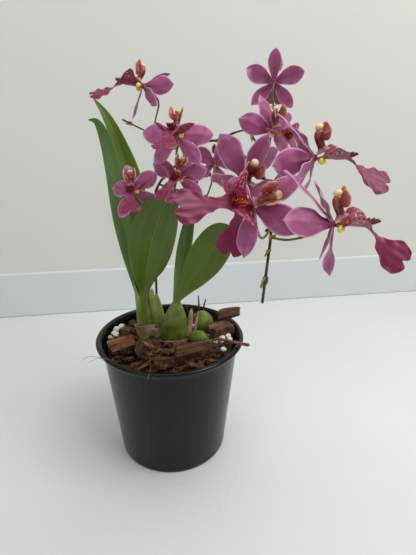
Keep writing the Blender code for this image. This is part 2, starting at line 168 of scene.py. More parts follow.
def pick(*things):
    clearSelection()
    for thing in things:
        thing.select_set(True)
    bpy.context.view_layer.objects.active = things[0]


def callIt(name):
    made = bpy.context.object
    made.name = made.data.name = name
    return made


def applyModifier(piece, kind, **settings):
    pick(piece)
    bpy.ops.object.modifier_add(type=kind)
    made = piece.modifiers[-1]
    for key, value in settings.items():
        setattr(made, key, value)
    bpy.ops.object.modifier_apply(modifier=made.name)


def setInPlace(piece, matrix):
    piece.matrix_world = matrix
    pick(piece)
    bpy.ops.object.transform_apply(location=True, rotation=True, scale=True)
    return piece


def placed(x, y, z):
    # a place in mm
    return Matrix.Translation(Vector((x, y, z)) * mm)


def tilted(turn, tiltX=0, tiltY=0):
    # degrees; the turn about Z comes last
    return (Matrix.Rotation(math.radians(turn), 4, "Z") @ Matrix.Rotation(math.radians(tiltX), 4, "X")
            @ Matrix.Rotation(math.radians(tiltY), 4, "Y"))


def copyPiece(piece, matrix):
    pick(piece)
    bpy.ops.object.duplicate()
    return setInPlace(bpy.context.object, matrix)


def joinPieces(name, things):
    pick(*things)
    bpy.ops.object.join()
    return callIt(name)


def editWhole(piece, step, **settings):
    # one step in edit mode on the whole mesh
    pick(piece)
    bpy.ops.object.mode_set(mode="EDIT")
    bpy.ops.mesh.select_all(action="SELECT")
    step(**settings)
    bpy.ops.object.mode_set(mode="OBJECT")


def faceOut(piece):
    editWhole(piece, bpy.ops.mesh.normals_make_consistent, inside=False)


def smoothIt(piece, levels=1, angle=None):
    if levels:
        applyModifier(piece, "SUBSURF", levels=levels, render_levels=levels)
    pick(piece)
    if angle:
        bpy.ops.object.shade_smooth_by_angle(angle=math.radians(angle))
    else:
        bpy.ops.object.shade_smooth()


def giveFinish(piece, finish):
    piece.data.materials.clear()
    piece.data.materials.append(finish)
    return piece


def addSheet(name, across, along):
    clearSelection()
    bpy.ops.mesh.primitive_grid_add(x_subdivisions=across, y_subdivisions=along, size=2)
    return callIt(name)


def shapeSheet(piece, place):
    # place takes the side, -1 to 1, and the way along, 0 to 1
    for vert in piece.data.vertices:
        vert.co = place(vert.co.x, (vert.co.y + 1) / 2)


def addBall(name, segments, rings):
    clearSelection()
    bpy.ops.mesh.primitive_uv_sphere_add(segments=segments, ring_count=rings, radius=1)
    return callIt(name)


def shapeBall(piece, place):
    # place takes the direction round the axis and how far up, 0 to 1
    for vert in piece.data.vertices:
        x, y, z = vert.co
        flat = math.hypot(x, y)
        up = 1 - math.acos(max(-1.0, min(1.0, z))) / math.pi
        vert.co = place(x / flat, y / flat, up) if flat > 1e-6 else place(0.0, 0.0, round(up))


def paintUv(piece, rule):
    if not piece.data.uv_layers:
        piece.data.uv_layers.new(name="UVMap")
    layer = piece.data.uv_layers.active.data
    for loop in piece.data.loops:
        layer[loop.index].uv = rule(piece.data.vertices[loop.vertex_index].co)


def readCurve(stations, place):
    # smooth value at place along stations of (place, value)
    last = len(stations) - 2
    i = 0
    while i < last and place > stations[i + 1][0]:
        i += 1
    (start, a), (end, b) = stations[i], stations[i + 1]
    before, after = stations[max(i - 1, 0)], stations[min(i + 2, last + 1)]
    span = end - start
    t = (place - start) / span
    rise = (b - before[1]) * (span / (end - before[0]))
    fall = (after[1] - a) * (span / (after[0] - start))
    return (a * (2 * t ** 3 - 3 * t ** 2 + 1) + rise * (t ** 3 - 2 * t ** 2 + t)
            + b * (3 * t ** 2 - 2 * t ** 3) + fall * (t ** 3 - t ** 2))


def smoothRoute(points, count):
    ends = [points[0] * 2 - points[1]] + list(points) + [points[-1] * 2 - points[-2]]
    spans = len(points) - 1
    route = []
    for step in range(count):
        place = step / (count - 1) * spans
        span = min(int(place), spans - 1)
        t = place - span
        a, b, c, d = ends[span:span + 4]
        route.append(0.5 * ((2 * b) + (c - a) * t + (2 * a - 5 * b + 4 * c - d) * t * t
                            + (3 * b - a - 3 * c + d) * t ** 3))
    return route


def routeThrough(points, count):
    # points in mm
    return smoothRoute([Vector(point) * mm for point in points], count)


def tapered(thick, loss, count):
    # radii that lose a share of their size by the tip
    return [thick * mm * (1 - loss * i / (count - 1)) for i in range(count)]


def addTube(name, route, radii, finish, sides=3):
    clearSelection()
    bpy.ops.curve.primitive_nurbs_path_add()
    made = callIt(name)
    curve = made.data
    curve.splines.clear()
    spline = curve.splines.new("POLY")
    spline.points.add(len(route) - 1)
    for spot, point, radius in zip(spline.points, route, radii):
        spot.co = (*point, 1.0)
        spot.radius = radius
    curve.bevel_depth = 1.0
    curve.bevel_resolution = sides
    curve.use_fill_caps = True
    pick(made)
    bpy.ops.object.convert(target="MESH")
    tube = giveFinish(callIt(name), finish)
    smoothIt(tube, 0)
    return tube


def mount(piece, slot, *nodes):
    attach(piece, "root")
    if nodes:
        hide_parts(*nodes)
    return piece


# --- room, lights and camera ---

room = {
    "wallPlace": (0.05, 0.2626), "wallTurn": 8.8, "wallColour": paint(222, 222, 214),
    "wallWidth": 4, "wallHeight": 2.0, "wallThick": 0.1, "wallGap": 0.004,
    "floorColour": paint(226, 228, 226),
    "bandHeight": 0.06, "bandColour": paint(220, 223, 224), "air": (0.93, 0.97, 1.0, 1), "airPower": 0.40,
    # each light: place in m, size and power; all are aimed at the same spot
    "lights": {"keyLight": ((0.55, -0.25, 1.0), 0.7, 7.4), "fillLight": ((-0.7, -0.9, 0.8), 1.0, 2.2),
               "topLight": ((0.0, 0.0, 1.3), 0.8, 1.8)},
    "aim": (0, 0, 0.12), "camera": (0.0284, -0.2796, 0.2469), "cameraTilt": 69.09, "lens": 36.09,
    "filmWidth": 36.0,
}


def makeRoomPaint(name, roughness, colour, scale, shade):
    finish, shader, wire, spots, _ = startFinish(name, roughness)
    tone = wire.noise(spots, scale, 3.0).between(0.3, 0.7)
    plug(wire, shader, tone.mix(colour, tuple(c * shade for c in colour[:3]) + (1,)))
    return finish


def makeRoom():
    floorFinish = makeRoomPaint("floorPaint", 0.55, room["floorColour"], 3.0, 0.93)
    clearSelection()
    bpy.ops.mesh.primitive_plane_add(size=4)
    giveFinish(callIt("studioFloor"), floorFinish)
    thick = room["wallThick"]
    for name, colour, height, gap in (
            ("studioWall", room["wallColour"], room["wallHeight"], room["wallGap"]),
            ("studioBand", room["bandColour"], room["bandHeight"], 0.0)):
        finish = makeRoomPaint(name + "Paint", 0.7, colour, 2.0, 0.94)
        clearSelection()
        bpy.ops.mesh.primitive_cube_add(size=1)
        wall = callIt(name)
        place = Matrix.Translation((*room["wallPlace"], 0)) @ tilted(room["wallTurn"])
        setInPlace(wall, place @ Matrix.Translation((0, thick / 2 + gap, height / 2))
                   @ Matrix.Diagonal((room["wallWidth"], thick, height, 1)))
        applyModifier(wall, "BEVEL", width=0.0015, segments=2)
        giveFinish(wall, finish)
    world = bpy.data.worlds.new("studioAir")
    bpy.context.scene.world = world
    world.use_nodes = True
    air = world.node_tree.nodes["Background"].inputs
    air["Color"].default_value = room["air"]
    air["Strength"].default_value = room["airPower"]
    for name, (spot, size, power) in room["lights"].items():
        clearSelection()
        bpy.ops.object.light_add(type="AREA", location=spot)
        light = callIt(name)
        light.data.size = size
        light.data.energy = power
        light.rotation_euler = (Vector(room["aim"]) - Vector(spot)).to_track_quat("-Z", "Y").to_euler()
    clearSelection()
    bpy.ops.object.camera_add(location=room["camera"], rotation=(math.radians(room["cameraTilt"]), 0, 0))
    lens = callIt("studioCamera").data
    lens.sensor_fit = "HORIZONTAL"
    lens.sensor_width = room["filmWidth"]
    lens.lens = room["lens"]
    lens.clip_start = 0.01
    bpy.context.scene.camera = bpy.context.object
    bpy.context.scene.view_settings.view_transform = "Standard"


makeRoom()
print("room and camera ready")


# --- pot ---

pot = {
    "base": 41.5, "neck": 50.4, "rim": 55.0, "opening": 50.8, "height": 95.0, "collar": 6.0, "wall": 1.4,
    "sides": 128, "colour": paint(5, 6, 7), "dust": paint(26, 28, 29),
    # drain holes: how many, their radius and the share of the base radius where they stand
    "holes": 6, "holeRadius": 4.5, "holeRing": 0.62,
}


def makePotFinish():
    finish, shader, wire, spots, _ = startFinish("potPlastic", 0.26, Specular_IOR_Level=0.32)
    dust = wire.noise(spots, 38.0, 6.0).between(0.45, 0.85)
    streak = wire.noise(spots, 1.0, 4.0, (180, 180, 9)).between(0.5, 0.8)
    grain = wire.noise(spots, 900.0, 2.0)
    plug(wire, shader, (dust * 0.25 + streak * 0.12).mix(pot["colour"], pot["dust"]),
         0.20 + dust * 0.12 + grain * 0.05, grain + streak * 0.8, 0.10, 0.0002)
    return finish


def makePot():
    base, neck, rim, opening, wall, top = (pot[key] for key in (
        "base", "neck", "rim", "opening", "wall", "height"))
    under = top - pot["collar"]
    # radius and height, from the underside up the outside and down the inside
    outline = [
        (base - 1.6, 0.0), (base - 0.5, 0.35), (base, 1.5), (base + 0.12, 3.2), (neck - 0.2, under - 2.5),
        (neck, under), (opening + 1.4, top - 3.4), (rim - 1.7, top - 3.1), (rim - 0.5, top - 2.8),
        (rim, top - 2.0), (rim, top - 1.3), (rim - 0.5, top - 0.5), (rim - 1.4, top - 0.1), (rim - 2.6, top),
        (opening + 1.4, top - 0.4), (opening + 0.2, top - 1.0), (opening - 0.3, top - 2.4),
        (neck - wall, under - 0.4), (base - wall + 0.2, 2.6), (base - wall - 0.8, 1.8),
    ]
    clearSelection()
    bpy.ops.mesh.primitive_circle_add(vertices=pot["sides"], radius=outline[0][0] * mm, fill_type="NGON")
    piece = callIt("pot_shell")
    bpy.ops.object.mode_set(mode="EDIT")
    bpy.ops.mesh.select_all(action="SELECT")
    for (fromRadius, fromHeight), (radius, height) in zip(outline, outline[1:]):
        rise = (height - fromHeight) * mm
        bpy.ops.mesh.extrude_region_move(TRANSFORM_OT_translate={"value": (0, 0, rise)})
        share = radius / fromRadius
        bpy.ops.transform.resize(value=(share, share, 1))
    faceOut(piece)
    drills = []
    for i in range(pot["holes"]):
        turn = 2 * math.pi * (i + 0.5) / pot["holes"]
        away = base * pot["holeRing"] * mm
        clearSelection()
        bpy.ops.mesh.primitive_cylinder_add(
            vertices=32, radius=pot["holeRadius"] * mm, depth=8 * mm,
            location=(away * math.cos(turn), away * math.sin(turn), 0))
        drills.append(bpy.context.object)
    drill = joinPieces("drill", drills)
    applyModifier(piece, "BOOLEAN", object=drill, operation="DIFFERENCE", solver="EXACT")
    bpy.data.objects.remove(drill)
    smoothIt(piece, 0, 38)
    mount(giveFinish(piece, makePotFinish()), "pot_plastic", "pot")


makePot()
print("pot turned")


# --- potting mix, husk and bark ---

mix = {
    "top": 86.0, "radius": 47.4, "foot": 39.5, "low": 2.2, "bumps": 1.6,
    "dark": paint(38, 24, 14), "light": paint(105, 66, 36),
    # small chips: how many, how far out, and length, width and depth of each kind
    "chips": 230, "chipReach": 45.0,
    "chipSizes": ((8, 4, 2.2), (6, 5, 2.6), (10, 3, 2), (5, 3.6, 3), (12, 2.4, 1.6)),
}


def makeBarkFinish(name, deep, warm, pale, stretch=(3.0, 26.0, 26.0)):
    finish, shader, wire, spots, across = startFinish(name, 0.88)
    grain = wire.noise(across, 1.0, 8.0, stretch)
    fibre = wire.noise(across, 2.0, 3.0, (2.0, 70.0, 70.0))
    patch = wire.noise(spots, 160.0, 5.0)
    base = grain.ramp((0.30, deep), (0.52, warm), (0.74, pale))
    dark = patch.between(0.46, 0.62) * 0.55
    plug(wire, shader, dark.mix(base, deep), 0.74 + grain * 0.22,
         grain * 0.8 + fibre * 0.5 + patch * 0.5, 0.75, 0.0009)
    return finish


huskFinish = makeBarkFinish("huskFibre", paint(24, 13, 7), paint(92, 56, 28), paint(168, 118, 70))
barkFinish = makeBarkFinish("barkBrown", paint(20, 12, 8), paint(84, 48, 26), paint(150, 104, 66),
                            (4.0, 14.0, 14.0))


def makeMixSurface():
    finish, shader, wire, spots, _ = startFinish("mixCrumb", 0.95)
    crumbs = wire.noise(spots, 420.0, 8.0)
    patch = wire.noise(spots, 70.0, 5.0)
    plug(wire, shader, (crumbs * 0.6 + patch * 0.5).between(0.4, 0.75).mix(mix["dark"], mix["light"]),
         None, crumbs + patch, 0.9, 0.0015)
    piece = addBall("mix_bed", 72, 44)
    top, radius, foot, low = mix["top"], mix["radius"], mix["foot"], mix["low"]

    def place(x, y, up):
        if up >= 0.5:
            share = (1 - up) * 2
            bump = noise.noise(Vector((x * share * 6, y * share * 6, 0))) * mix["bumps"]
            bump += noise.noise(Vector((x * share * 19, y * share * 19, 4))) * mix["bumps"] * 0.5
            return Vector((x * radius * share, y * radius * share, top - 1.2 + bump)) * mm
        share = up * 2
        if share < 0.2:
            return Vector((x * foot * share * 5, y * foot * share * 5, low)) * mm
        deep = (share - 0.2) / 0.8
        wide = foot + (radius - foot) * deep
        return Vector((x * wide, y * wide, low + (top - 4.0) * deep)) * mm

    shapeBall(piece, place)
    smoothIt(piece, 1)
    mount(giveFinish(piece, finish), "potting_mix", "potting_mix")


def addChunk(name, length, width, depth, chance, cuts=5, ragged=0.10):
    # a torn block with its grain along X
    clearSelection()
    bpy.ops.mesh.primitive_cube_add(size=1)
    piece = callIt(name)
    editWhole(piece, bpy.ops.mesh.subdivide, number_cuts=cuts)
    seed = chance.uniform(0, 90)
    lean = chance.uniform(-0.25, 0.25)
    for vert in piece.data.vertices:
        spot = vert.co.copy()
        end = min(1.0, abs(spot.x) * 2) ** 6
        coarse = noise.noise(Vector((seed, spot.y * 6, spot.z * 6)))
        torn = (coarse + 0.6 * noise.noise(Vector((seed, spot.y * 17, spot.z * 17)))) * 0.13 * end
        swell = noise.noise_vector(spot * 2.2 + Vector((seed, 0, 0))) * ragged * 1.5
        grain = noise.noise_vector(Vector((spot.x * 2.0, spot.y * 11, spot.z * 11 + seed))) * ragged * 1.1
        grain.x *= 0.2
        spot.x += torn * math.copysign(1, spot.x) + lean * spot.y
        narrow = 1 - 0.22 * (spot.x + 0.5)
        vert.co = (Vector((spot.x * length, spot.y * width * narrow, spot.z * depth * narrow))
                   + (swell + grain) * min(width, depth)) * mm
    smoothIt(piece, 0, 32)
    return piece


# the large chunks, by the CAD part they stand for: length, width, depth, turn, tilt about X, tilt about Y
bigChunks = {
    "husk_chunk_left": (15, 13, 9, 25, 14, -12, huskFinish),
    "husk_chunk_left_back": (11, 7, 8, 80, 14, 8, huskFinish),
    "husk_chunk_middle": (17, 13, 10, 112, 30, 10, huskFinish),
    "bark_chunk_front": (15, 6, 7, 34, -12, 10, barkFinish),
    "bark_chunk_long": (23, 10, 10, 14, 14, -8, barkFinish),
    "husk_chunk_right_back": (15, 11, 13, 30, 6, -8, huskFinish),
}


def layChunk(node, size, lie, finish, chance, ragged):
    low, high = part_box(node)
    piece = addChunk(node + "_torn", *size, chance, 14, ragged)
    setInPlace(piece, Matrix.Translation((low + high) / 2) @ tilted(*lie))
    mount(giveFinish(piece, finish), "bark", node)


def makeBigChunks():
    chance = random.Random(11)
    for node, (length, width, depth, *lie, finish) in bigChunks.items():
        layChunk(node, (length * 1.06, width * 1.06, depth * 1.04), lie, finish, chance, 0.045)
    layChunk("bark_flake", (16, 10, 3.2), (12, 22, -10), barkFinish, chance, 0.09)


def scatterSpot(chance, reach):
    away = reach * math.sqrt(chance.random())
    turn = chance.uniform(0, 2 * math.pi)
    return away * math.cos(turn), away * math.sin(turn)


def makeSmallChips():
    chance = random.Random(5)
    kinds = [addChunk(f"chip{i}", *size, chance, 1, 0.16) for i, size in enumerate(mix["chipSizes"])]
    for name, finish in (("mix_chips_husk", huskFinish), ("mix_chips_bark", barkFinish)):
        made = []
        for _ in range(mix["chips"] // 2):
            x, y = scatterSpot(chance, mix["chipReach"])
            size = chance.uniform(0.55, 1.15)
            height = mix["top"] + chance.uniform(-0.8, 3.0) + (1.5 if x > -30 else 0)
            chosen = chance.choice(kinds)
            lie = tilted(chance.uniform(0, 360), chance.uniform(-28, 28), chance.uniform(-24, 24))
            made.append(copyPiece(chosen, placed(x, y, height) @ lie @ Matrix.Scale(size, 4)))
        piece = joinPieces(name, made)
        smoothIt(piece, 0, 30)
        mount(giveFinish(piece, finish), "bark")
    for kind in kinds:
        bpy.data.objects.remove(kind)


makeMixSurface()
makeBigChunks()
makeSmallChips()
print("mix and bark laid")


# --- stones, feed beads, fibres and roots ---

litter = {
    # stones: x, y, size across and height above the mix
    "stones": ((-43, 12, 6.2, 6), (-40, 15.5, 5.0, 6.5), (-37, 9.5, 5.6, 6.5), (-41.5, 3.5, 5.6, 6),
               (-44.5, 7, 4.2, 5.5),
               (-36, 14, 4.2, 5.5), (15.5, 12.5, 6.6, 8), (38.9, -4.5, 6.6, 6.5), (43, 1, 5.0, 6.5),
               (44.5, -4, 4.8, 6),
               (39.5, -17.5, 4.4, 5.5), (34, -8, 3.8, 6)),
    "beads": ((-44.6, -4.6, "beadYellow", paint(190, 176, 84)),
              (-42.2, -7.4, "beadBlue", paint(52, 132, 178)),
              (-43.6, -12.6, "beadYellow", paint(200, 180, 60)),
              (-41.6, -17.6, "beadGreen", paint(58, 130, 92)),
              (-42.0, -14.6, "beadBlue", paint(70, 160, 190))),
    "beadLift": 8.0, "beadSpeck": paint(235, 225, 190),
}


def makeStones():
    finish, shader, wire, spots, _ = startFinish("perliteWhite", 0.92)
    pits = wire.cells(spots, 900.0).between(0.1, 0.6)
    dirt = wire.noise(spots, 260.0, 5.0).between(0.55, 0.75)
    plug(wire, shader, (dirt * 0.45).mix(paint(232, 232, 226), paint(150, 130, 105)), None, pits, 0.6, 0.0005)
    chance = random.Random(3)
    made = []
    for x, y, across, lift in litter["stones"]:
        clearSelection()
        bpy.ops.mesh.primitive_ico_sphere_add(subdivisions=3, radius=0.5)
        stone = callIt("stone")
        seed = chance.uniform(0, 50)
        for vert in stone.data.vertices:
            vert.co *= 1 + 0.42 * noise.noise(vert.co * 3 + Vector((seed, 0, 0)))
        lie = tilted(chance.uniform(0, 360), chance.uniform(-30, 30), 0)
        squash = Matrix.Diagonal((across, across * 0.8, across * 0.68, 1)) * mm
        squash[3][3] = 1
        made.append(setInPlace(stone, placed(x, y, mix["top"] + lift) @ lie @ squash))
    piece = joinPieces("perlite_stones", made)
    smoothIt(piece, 0, 50)
    mount(giveFinish(piece, finish), "potting_mix")


def makeBeads():
    for number, (x, y, kind, colour) in enumerate(litter["beads"], 1):
        finish = bpy.data.materials.get(kind)
        if not finish:
            finish, shader, wire, spots, _ = startFinish(kind, 0.42, Coat_Weight=0.2)
            speck = wire.noise(spots, 1200.0, 3.0)
            tone = (speck.between(0.5, 0.8) * 0.4).mix(colour, litter["beadSpeck"])
            plug(wire, shader, tone, None, speck, 0.25)
        ball = addBall(f"feed_bead_{number}", 24, 16)

        def place(px, py, up):
            wide = math.sin(math.pi * up)
            lump = 0.15 * noise.noise(Vector((px * 2, py * 2, up * 4 + number)))
            return Vector((px * wide * 1.8, py * wide * 1.7, -1.5 * math.cos(math.pi * up) + lump)) * mm

        shapeBall(ball, place)
        setInPlace(ball, placed(x, y, mix["top"] + litter["beadLift"]) @ tilted(number * 50, 20, 10))
        smoothIt(ball, 0)
        mount(giveFinish(ball, finish), "potting_mix")


dryStubs = {
    # foot and tip of each, in mm
    "routes": (((5, 15, 88), (3.6, 16, 107)), ((14, 13, 90), (17, 14, 109)), ((9, 14, 90), (10.4, 15, 103)),
               ((13, 17.5, 88), (11.4, 20, 109)), ((13, 10, 90), (13.6, 11.5, 107)),
               ((19, 30.5, 88), (20.5, 32, 112)),
               ((24, 30.5, 88), (26.5, 31.5, 109))),
    "foot": 1.0, "tip": 0.5,
}


def makeDryStubs():
    made = []
    for number, (foot, tip) in enumerate(dryStubs["routes"]):
        start, end = Vector(foot), Vector(tip)
        bow = Vector((1.2 if number % 2 else -1.2, 0, 0))
        route = routeThrough((start, (start + end) / 2 + bow, end), 10)
        radii = [(dryStubs["foot"] + (dryStubs["tip"] - dryStubs["foot"]) * i / 9) * mm for i in range(10)]
        made.append(addTube(f"stub{number}", route, radii, huskFinish, 3))
    mount(joinPieces("dry_stubs", made), "bark")


fibres = {
    "count": 90, "reach": 46.0, "edge": 47,
    # the ones that curl over the rim, in mm
    "curled": (((-36, -34, 93), (-43, -38, 97), (-50, -37, 97.5), (-55, -35, 95), (-58, -33, 91)),
               ((-33, -35, 92), (-40, -41, 98), (-46, -41, 98), (-51, -42, 95.5)),
               ((-12, -40, 93), (-10, -46, 99), (-8, -51, 99), (-9, -55, 95), (-11, -57.5, 88)),
               ((-6, -38, 94), (-8, -45, 100), (-13, -50, 99.5), (-16, -54, 96))),
    "curledRadius": 0.22,
}


def makeFibres():
    finish = makeMottledFinish("fibreTan", 0.85, 240.0, 3.0, 0.3, 0.7, paint(70, 42, 24), paint(160, 118, 78))
    chance = random.Random(21)
    made = []
    for _ in range(fibres["count"]):
        x, y = scatterSpot(chance, fibres["reach"])
        spot = Vector((x, y, mix["top"] + chance.uniform(2.0, 6.5)))
        way = chance.uniform(0, 2 * math.pi)
        route = [spot.copy()]
        for _ in range(5):
            way += chance.uniform(-0.8, 0.8)
            step = Vector((math.cos(way), math.sin(way), chance.uniform(-0.45, 0.5)))
            spot = spot + step * chance.uniform(1.6, 3.4)
            if spot.xy.length > fibres["edge"]:
                spot.xy *= fibres["edge"] / spot.xy.length
            route.append(spot.copy())
        thick = chance.uniform(0.10, 0.26)
        made.append(addTube("fibre", routeThrough(route, 12), tapered(thick, 0.7, 12), finish, 1))
    for route in fibres["curled"]:
        radii = tapered(fibres["curledRadius"], 0.6, 20)
        made.append(addTube("fibre", routeThrough(route, 20), radii, finish, 2))
    mount(joinPieces("husk_fibres", made), "bark")


rimRoot = {
    "route": ((30, -6, 92), (36, -10, 95.6), (43, -15, 97.0), (50, -19, 97.4), (55, -21.4, 97.6),
              (57.6, -22.4, 97.6)),
    "radius": 0.9, "swell": 0.5, "knots": 0.12,
}


def makeRimRoot():
    finish = makeMottledFinish("rootBrown", 0.7, 300.0, 4.0, 0.35, 0.65, paint(84, 42, 34),
                               paint(140, 88, 70),
                               strength=0.6, depth=0.0006)
    girths = [rimRoot["radius"] + rimRoot["swell"] * (i / 29) ** 2 + rimRoot["knots"] * math.sin(i * 1.7)
              for i in range(30)]
    radii = [mm * girth * (1 if i < 28 else 0.6) for i, girth in enumerate(girths)]
    mount(addTube("root_over_rim", routeThrough(rimRoot["route"], 30), radii, finish, 4), "bark")


makeStones()
makeBeads()
makeDryStubs()
makeFibres()
makeRimRoot()
print("stones, beads and fibres scattered")


# --- bulbs, sheaths and leaves ---

ovate = ((0, 0.30), (0.06, 0.70), (0.12, 0.86), (0.3, 1.0), (0.5, 0.97), (0.7, 0.78), (0.87, 0.5),
         (0.96, 0.3), (1, 0.02))
roundish = ((0, 0.35), (0.07, 0.78), (0.18, 0.94), (0.42, 1.0), (0.68, 0.84), (0.88, 0.5), (0.96, 0.26),
            (1, 0.02))
vase = ((0, 0.3), (0.05, 0.6), (0.15, 0.78), (0.4, 0.96), (0.62, 0.92), (0.82, 0.7), (0.95, 0.46), (1, 0.02))

bulbs = {
    # place, width, depth, height, lean, turn, outline, ridges
    "bulb_front": ((2, 2), 19.5, 14, 35, (3, 1), 8, ovate, 0.022),
    "bulb_back": ((24, 19), 19, 15, 19, (0, 0), -10, roundish, 0.02),
    "bulb_small": ((21, 2), 18, 12, 11, (1, -2), -20, roundish, 0.03),
    "growth_left": ((-20.5, 13), 12.5, 11, 37, (-1, 2), 10, vase, 0.03),
    "growth_right": ((-9.0, 15), 8.5, 7.5, 35, (-2.5, 0.5), 30, ovate, 0.03),
}
bulbColours = {
    "green": (paint(56, 72, 14), paint(94, 112, 34), paint(132, 142, 58)),
    "sheath": (paint(76, 98, 28), paint(124, 140, 62), paint(168, 172, 104)),
    "papery": (paint(112, 86, 60), paint(172, 146, 112), paint(218, 202, 170)),
}


def makeBulbFinish(name, tones, roughness, ribs):
    finish, shader, wire, spots, across = startFinish(name, roughness, Coat_Weight=0.08, Coat_Roughness=0.35)
    side, up = splitUv(wire, across)
    mottle = wire.noise(spots, 130.0, 5.0)
    rib = (side * ribs + wire.noise(spots, 60.0, 2.0) * 3.0).sine() * 0.5 + 0.5
    shade = mottle + rib * 0.05 + up * 0.25 - 0.12
    lit = shade.ramp((0.25, tones[0]), (0.55, tones[1]), (0.85, tones[2]))
    specks = wire.noise(spots, 700.0, 2.0).between(0.66, 0.74) * 0.4
    plug(wire, shader, specks.mix(lit, paint(70, 58, 34)), roughness - 0.08 + mottle * 0.2,
         rib * 0.35 + mottle * 0.9, 0.35, 0.0003)
    return finish


bulbGreen = makeBulbFinish("bulbGreen", bulbColours["green"], 0.42, 90.0)
sheathGreen = makeBulbFinish("sheathGreen", bulbColours["sheath"], 0.55, 170.0)
sheathPapery = makeBulbFinish("sheathPapery", bulbColours["papery"], 0.78, 200.0)


def makeBulbs():
    for node, (spot, width, depth, height, lean, turn, outline, ridge) in bulbs.items():
        piece = addBall(node + "_body", 40, 32)
        across = Vector((math.cos(math.radians(turn)), math.sin(math.radians(turn)), 0))
        along = Vector((-across.y, across.x, 0))

        def place(x, y, up):
            girth = readCurve(outline, up) if 0 < up < 1 else 0.0
            angle = math.atan2(y, x)
            girth *= 1 + ridge * math.cos(angle * 7 + up * 2) * math.sin(math.pi * up)
            girth *= 1 + 0.05 * noise.noise(Vector((x * 1.5, y * 1.5, up * 3 + width)))
            centre = Vector((spot[0], spot[1], mix["top"] - 1.5)) + Vector((*lean, 0)) * up ** 1.5
            centre.z += (height + 1.5) * up
            return (centre + across * (x * width / 2 * girth) + along * (y * depth / 2 * girth)) * mm

        shapeBall(piece, place)
        smoothIt(piece, 1)
        green = node.startswith("bulb")
        mount(giveFinish(piece, bulbGreen if green else sheathGreen), "bulb" if green else "sheath", node)


# sheaths wrap a growth or a bulb: place, base and top height, radius low and high, facing turn, wrap, lean,
# finish and how pointed
sheaths = {
    "sheath_left_outer": ((-20.5, 13), 86, 134, 6.9, 4.6, 185, 235, (-2.5, 3), sheathGreen, 1.15),
    "sheath_left_inner": ((-20, 13.5), 92, 130, 6.5, 4.2, 20, 220, (-1.0, 2), sheathGreen, 1.1),
    "sheath_papery_base": ((-20, 12.4), 85.5, 99, 7.3, 7.9, 285, 290, (-0.5, -0.5), sheathPapery, 0.8),
    "sheath_wedge": ((-9.5, 13), 86, 128, 5.2, 2.6, 300, 200, (-6, 0.5), sheathGreen, 1.2),
    "sheath_wedge_papery": ((-11.0, 13.0), 85.5, 96, 5.6, 6.2, 255, 230, (-1, -0.5), sheathPapery, 0.9),
    "sheath_bulb_tan": ((12.8, 5.5), 86, 114, 3.4, 2.2, 300, 200, (2.0, 1.0), sheathPapery, 1.1),
    "sheath_bulb_tan_side": ((16.5, 8.5), 86, 110, 2.6, 1.5, 330, 190, (3.0, 0.5), sheathPapery, 1.1),
    "sheath_back_small": ((25, 3), 86, 95.5, 7.0, 4.0, 260, 150, (4, -1), bulbGreen, 0.8),
    "sheath_bulb_front_dry": ((2.4, 2), 85.5, 93, 9.3, 9.9, 275, 200, (0, -0.6), sheathPapery, 1.3),
}


def makeSheaths():
    for name, (spot, low, high, wideLow, wideHigh, facing, wrap, lean, finish, pointed) in sheaths.items():
        piece = addSheet(name, 20, 16)
        seed = len(name) * 1.7

        def place(side, along):
            angle = math.radians(facing + side * wrap / 2)
            crease = noise.noise(Vector((side * 2, along * 3, seed)))
            tear = noise.noise(Vector((side * 6, along, seed)))
            radius = wideLow + (wideHigh - wideLow) * along + 0.35 * crease
            cut = 1 - pointed * 0.42 * abs(side) ** 1.4
            rise = low + (high - low) * along * cut + 0.5 * tear * along
            flare = 1 + 0.10 * along ** 3
            centre = Vector((spot[0] + lean[0] * along ** 1.5, spot[1] + lean[1] * along ** 1.5, rise))
            return (centre + Vector((math.cos(angle), math.sin(angle) * 0.9, 0)) * radius * flare) * mm

        shapeSheet(piece, place)
        applyModifier(piece, "SOLIDIFY", thickness=0.35 * mm, offset=0)
        smoothIt(piece, 1)
        mount(giveFinish(piece, finish), "sheath")


leafTones = {
    "leafYellowGreen": (paint(62, 92, 10), paint(104, 132, 24), paint(156, 174, 70)),
    "leafGreyGreen": (paint(54, 86, 26), paint(88, 122, 54), paint(136, 158, 92)),
    "leafDeep": (paint(54, 78, 4), paint(84, 108, 10), paint(136, 152, 44)),
}
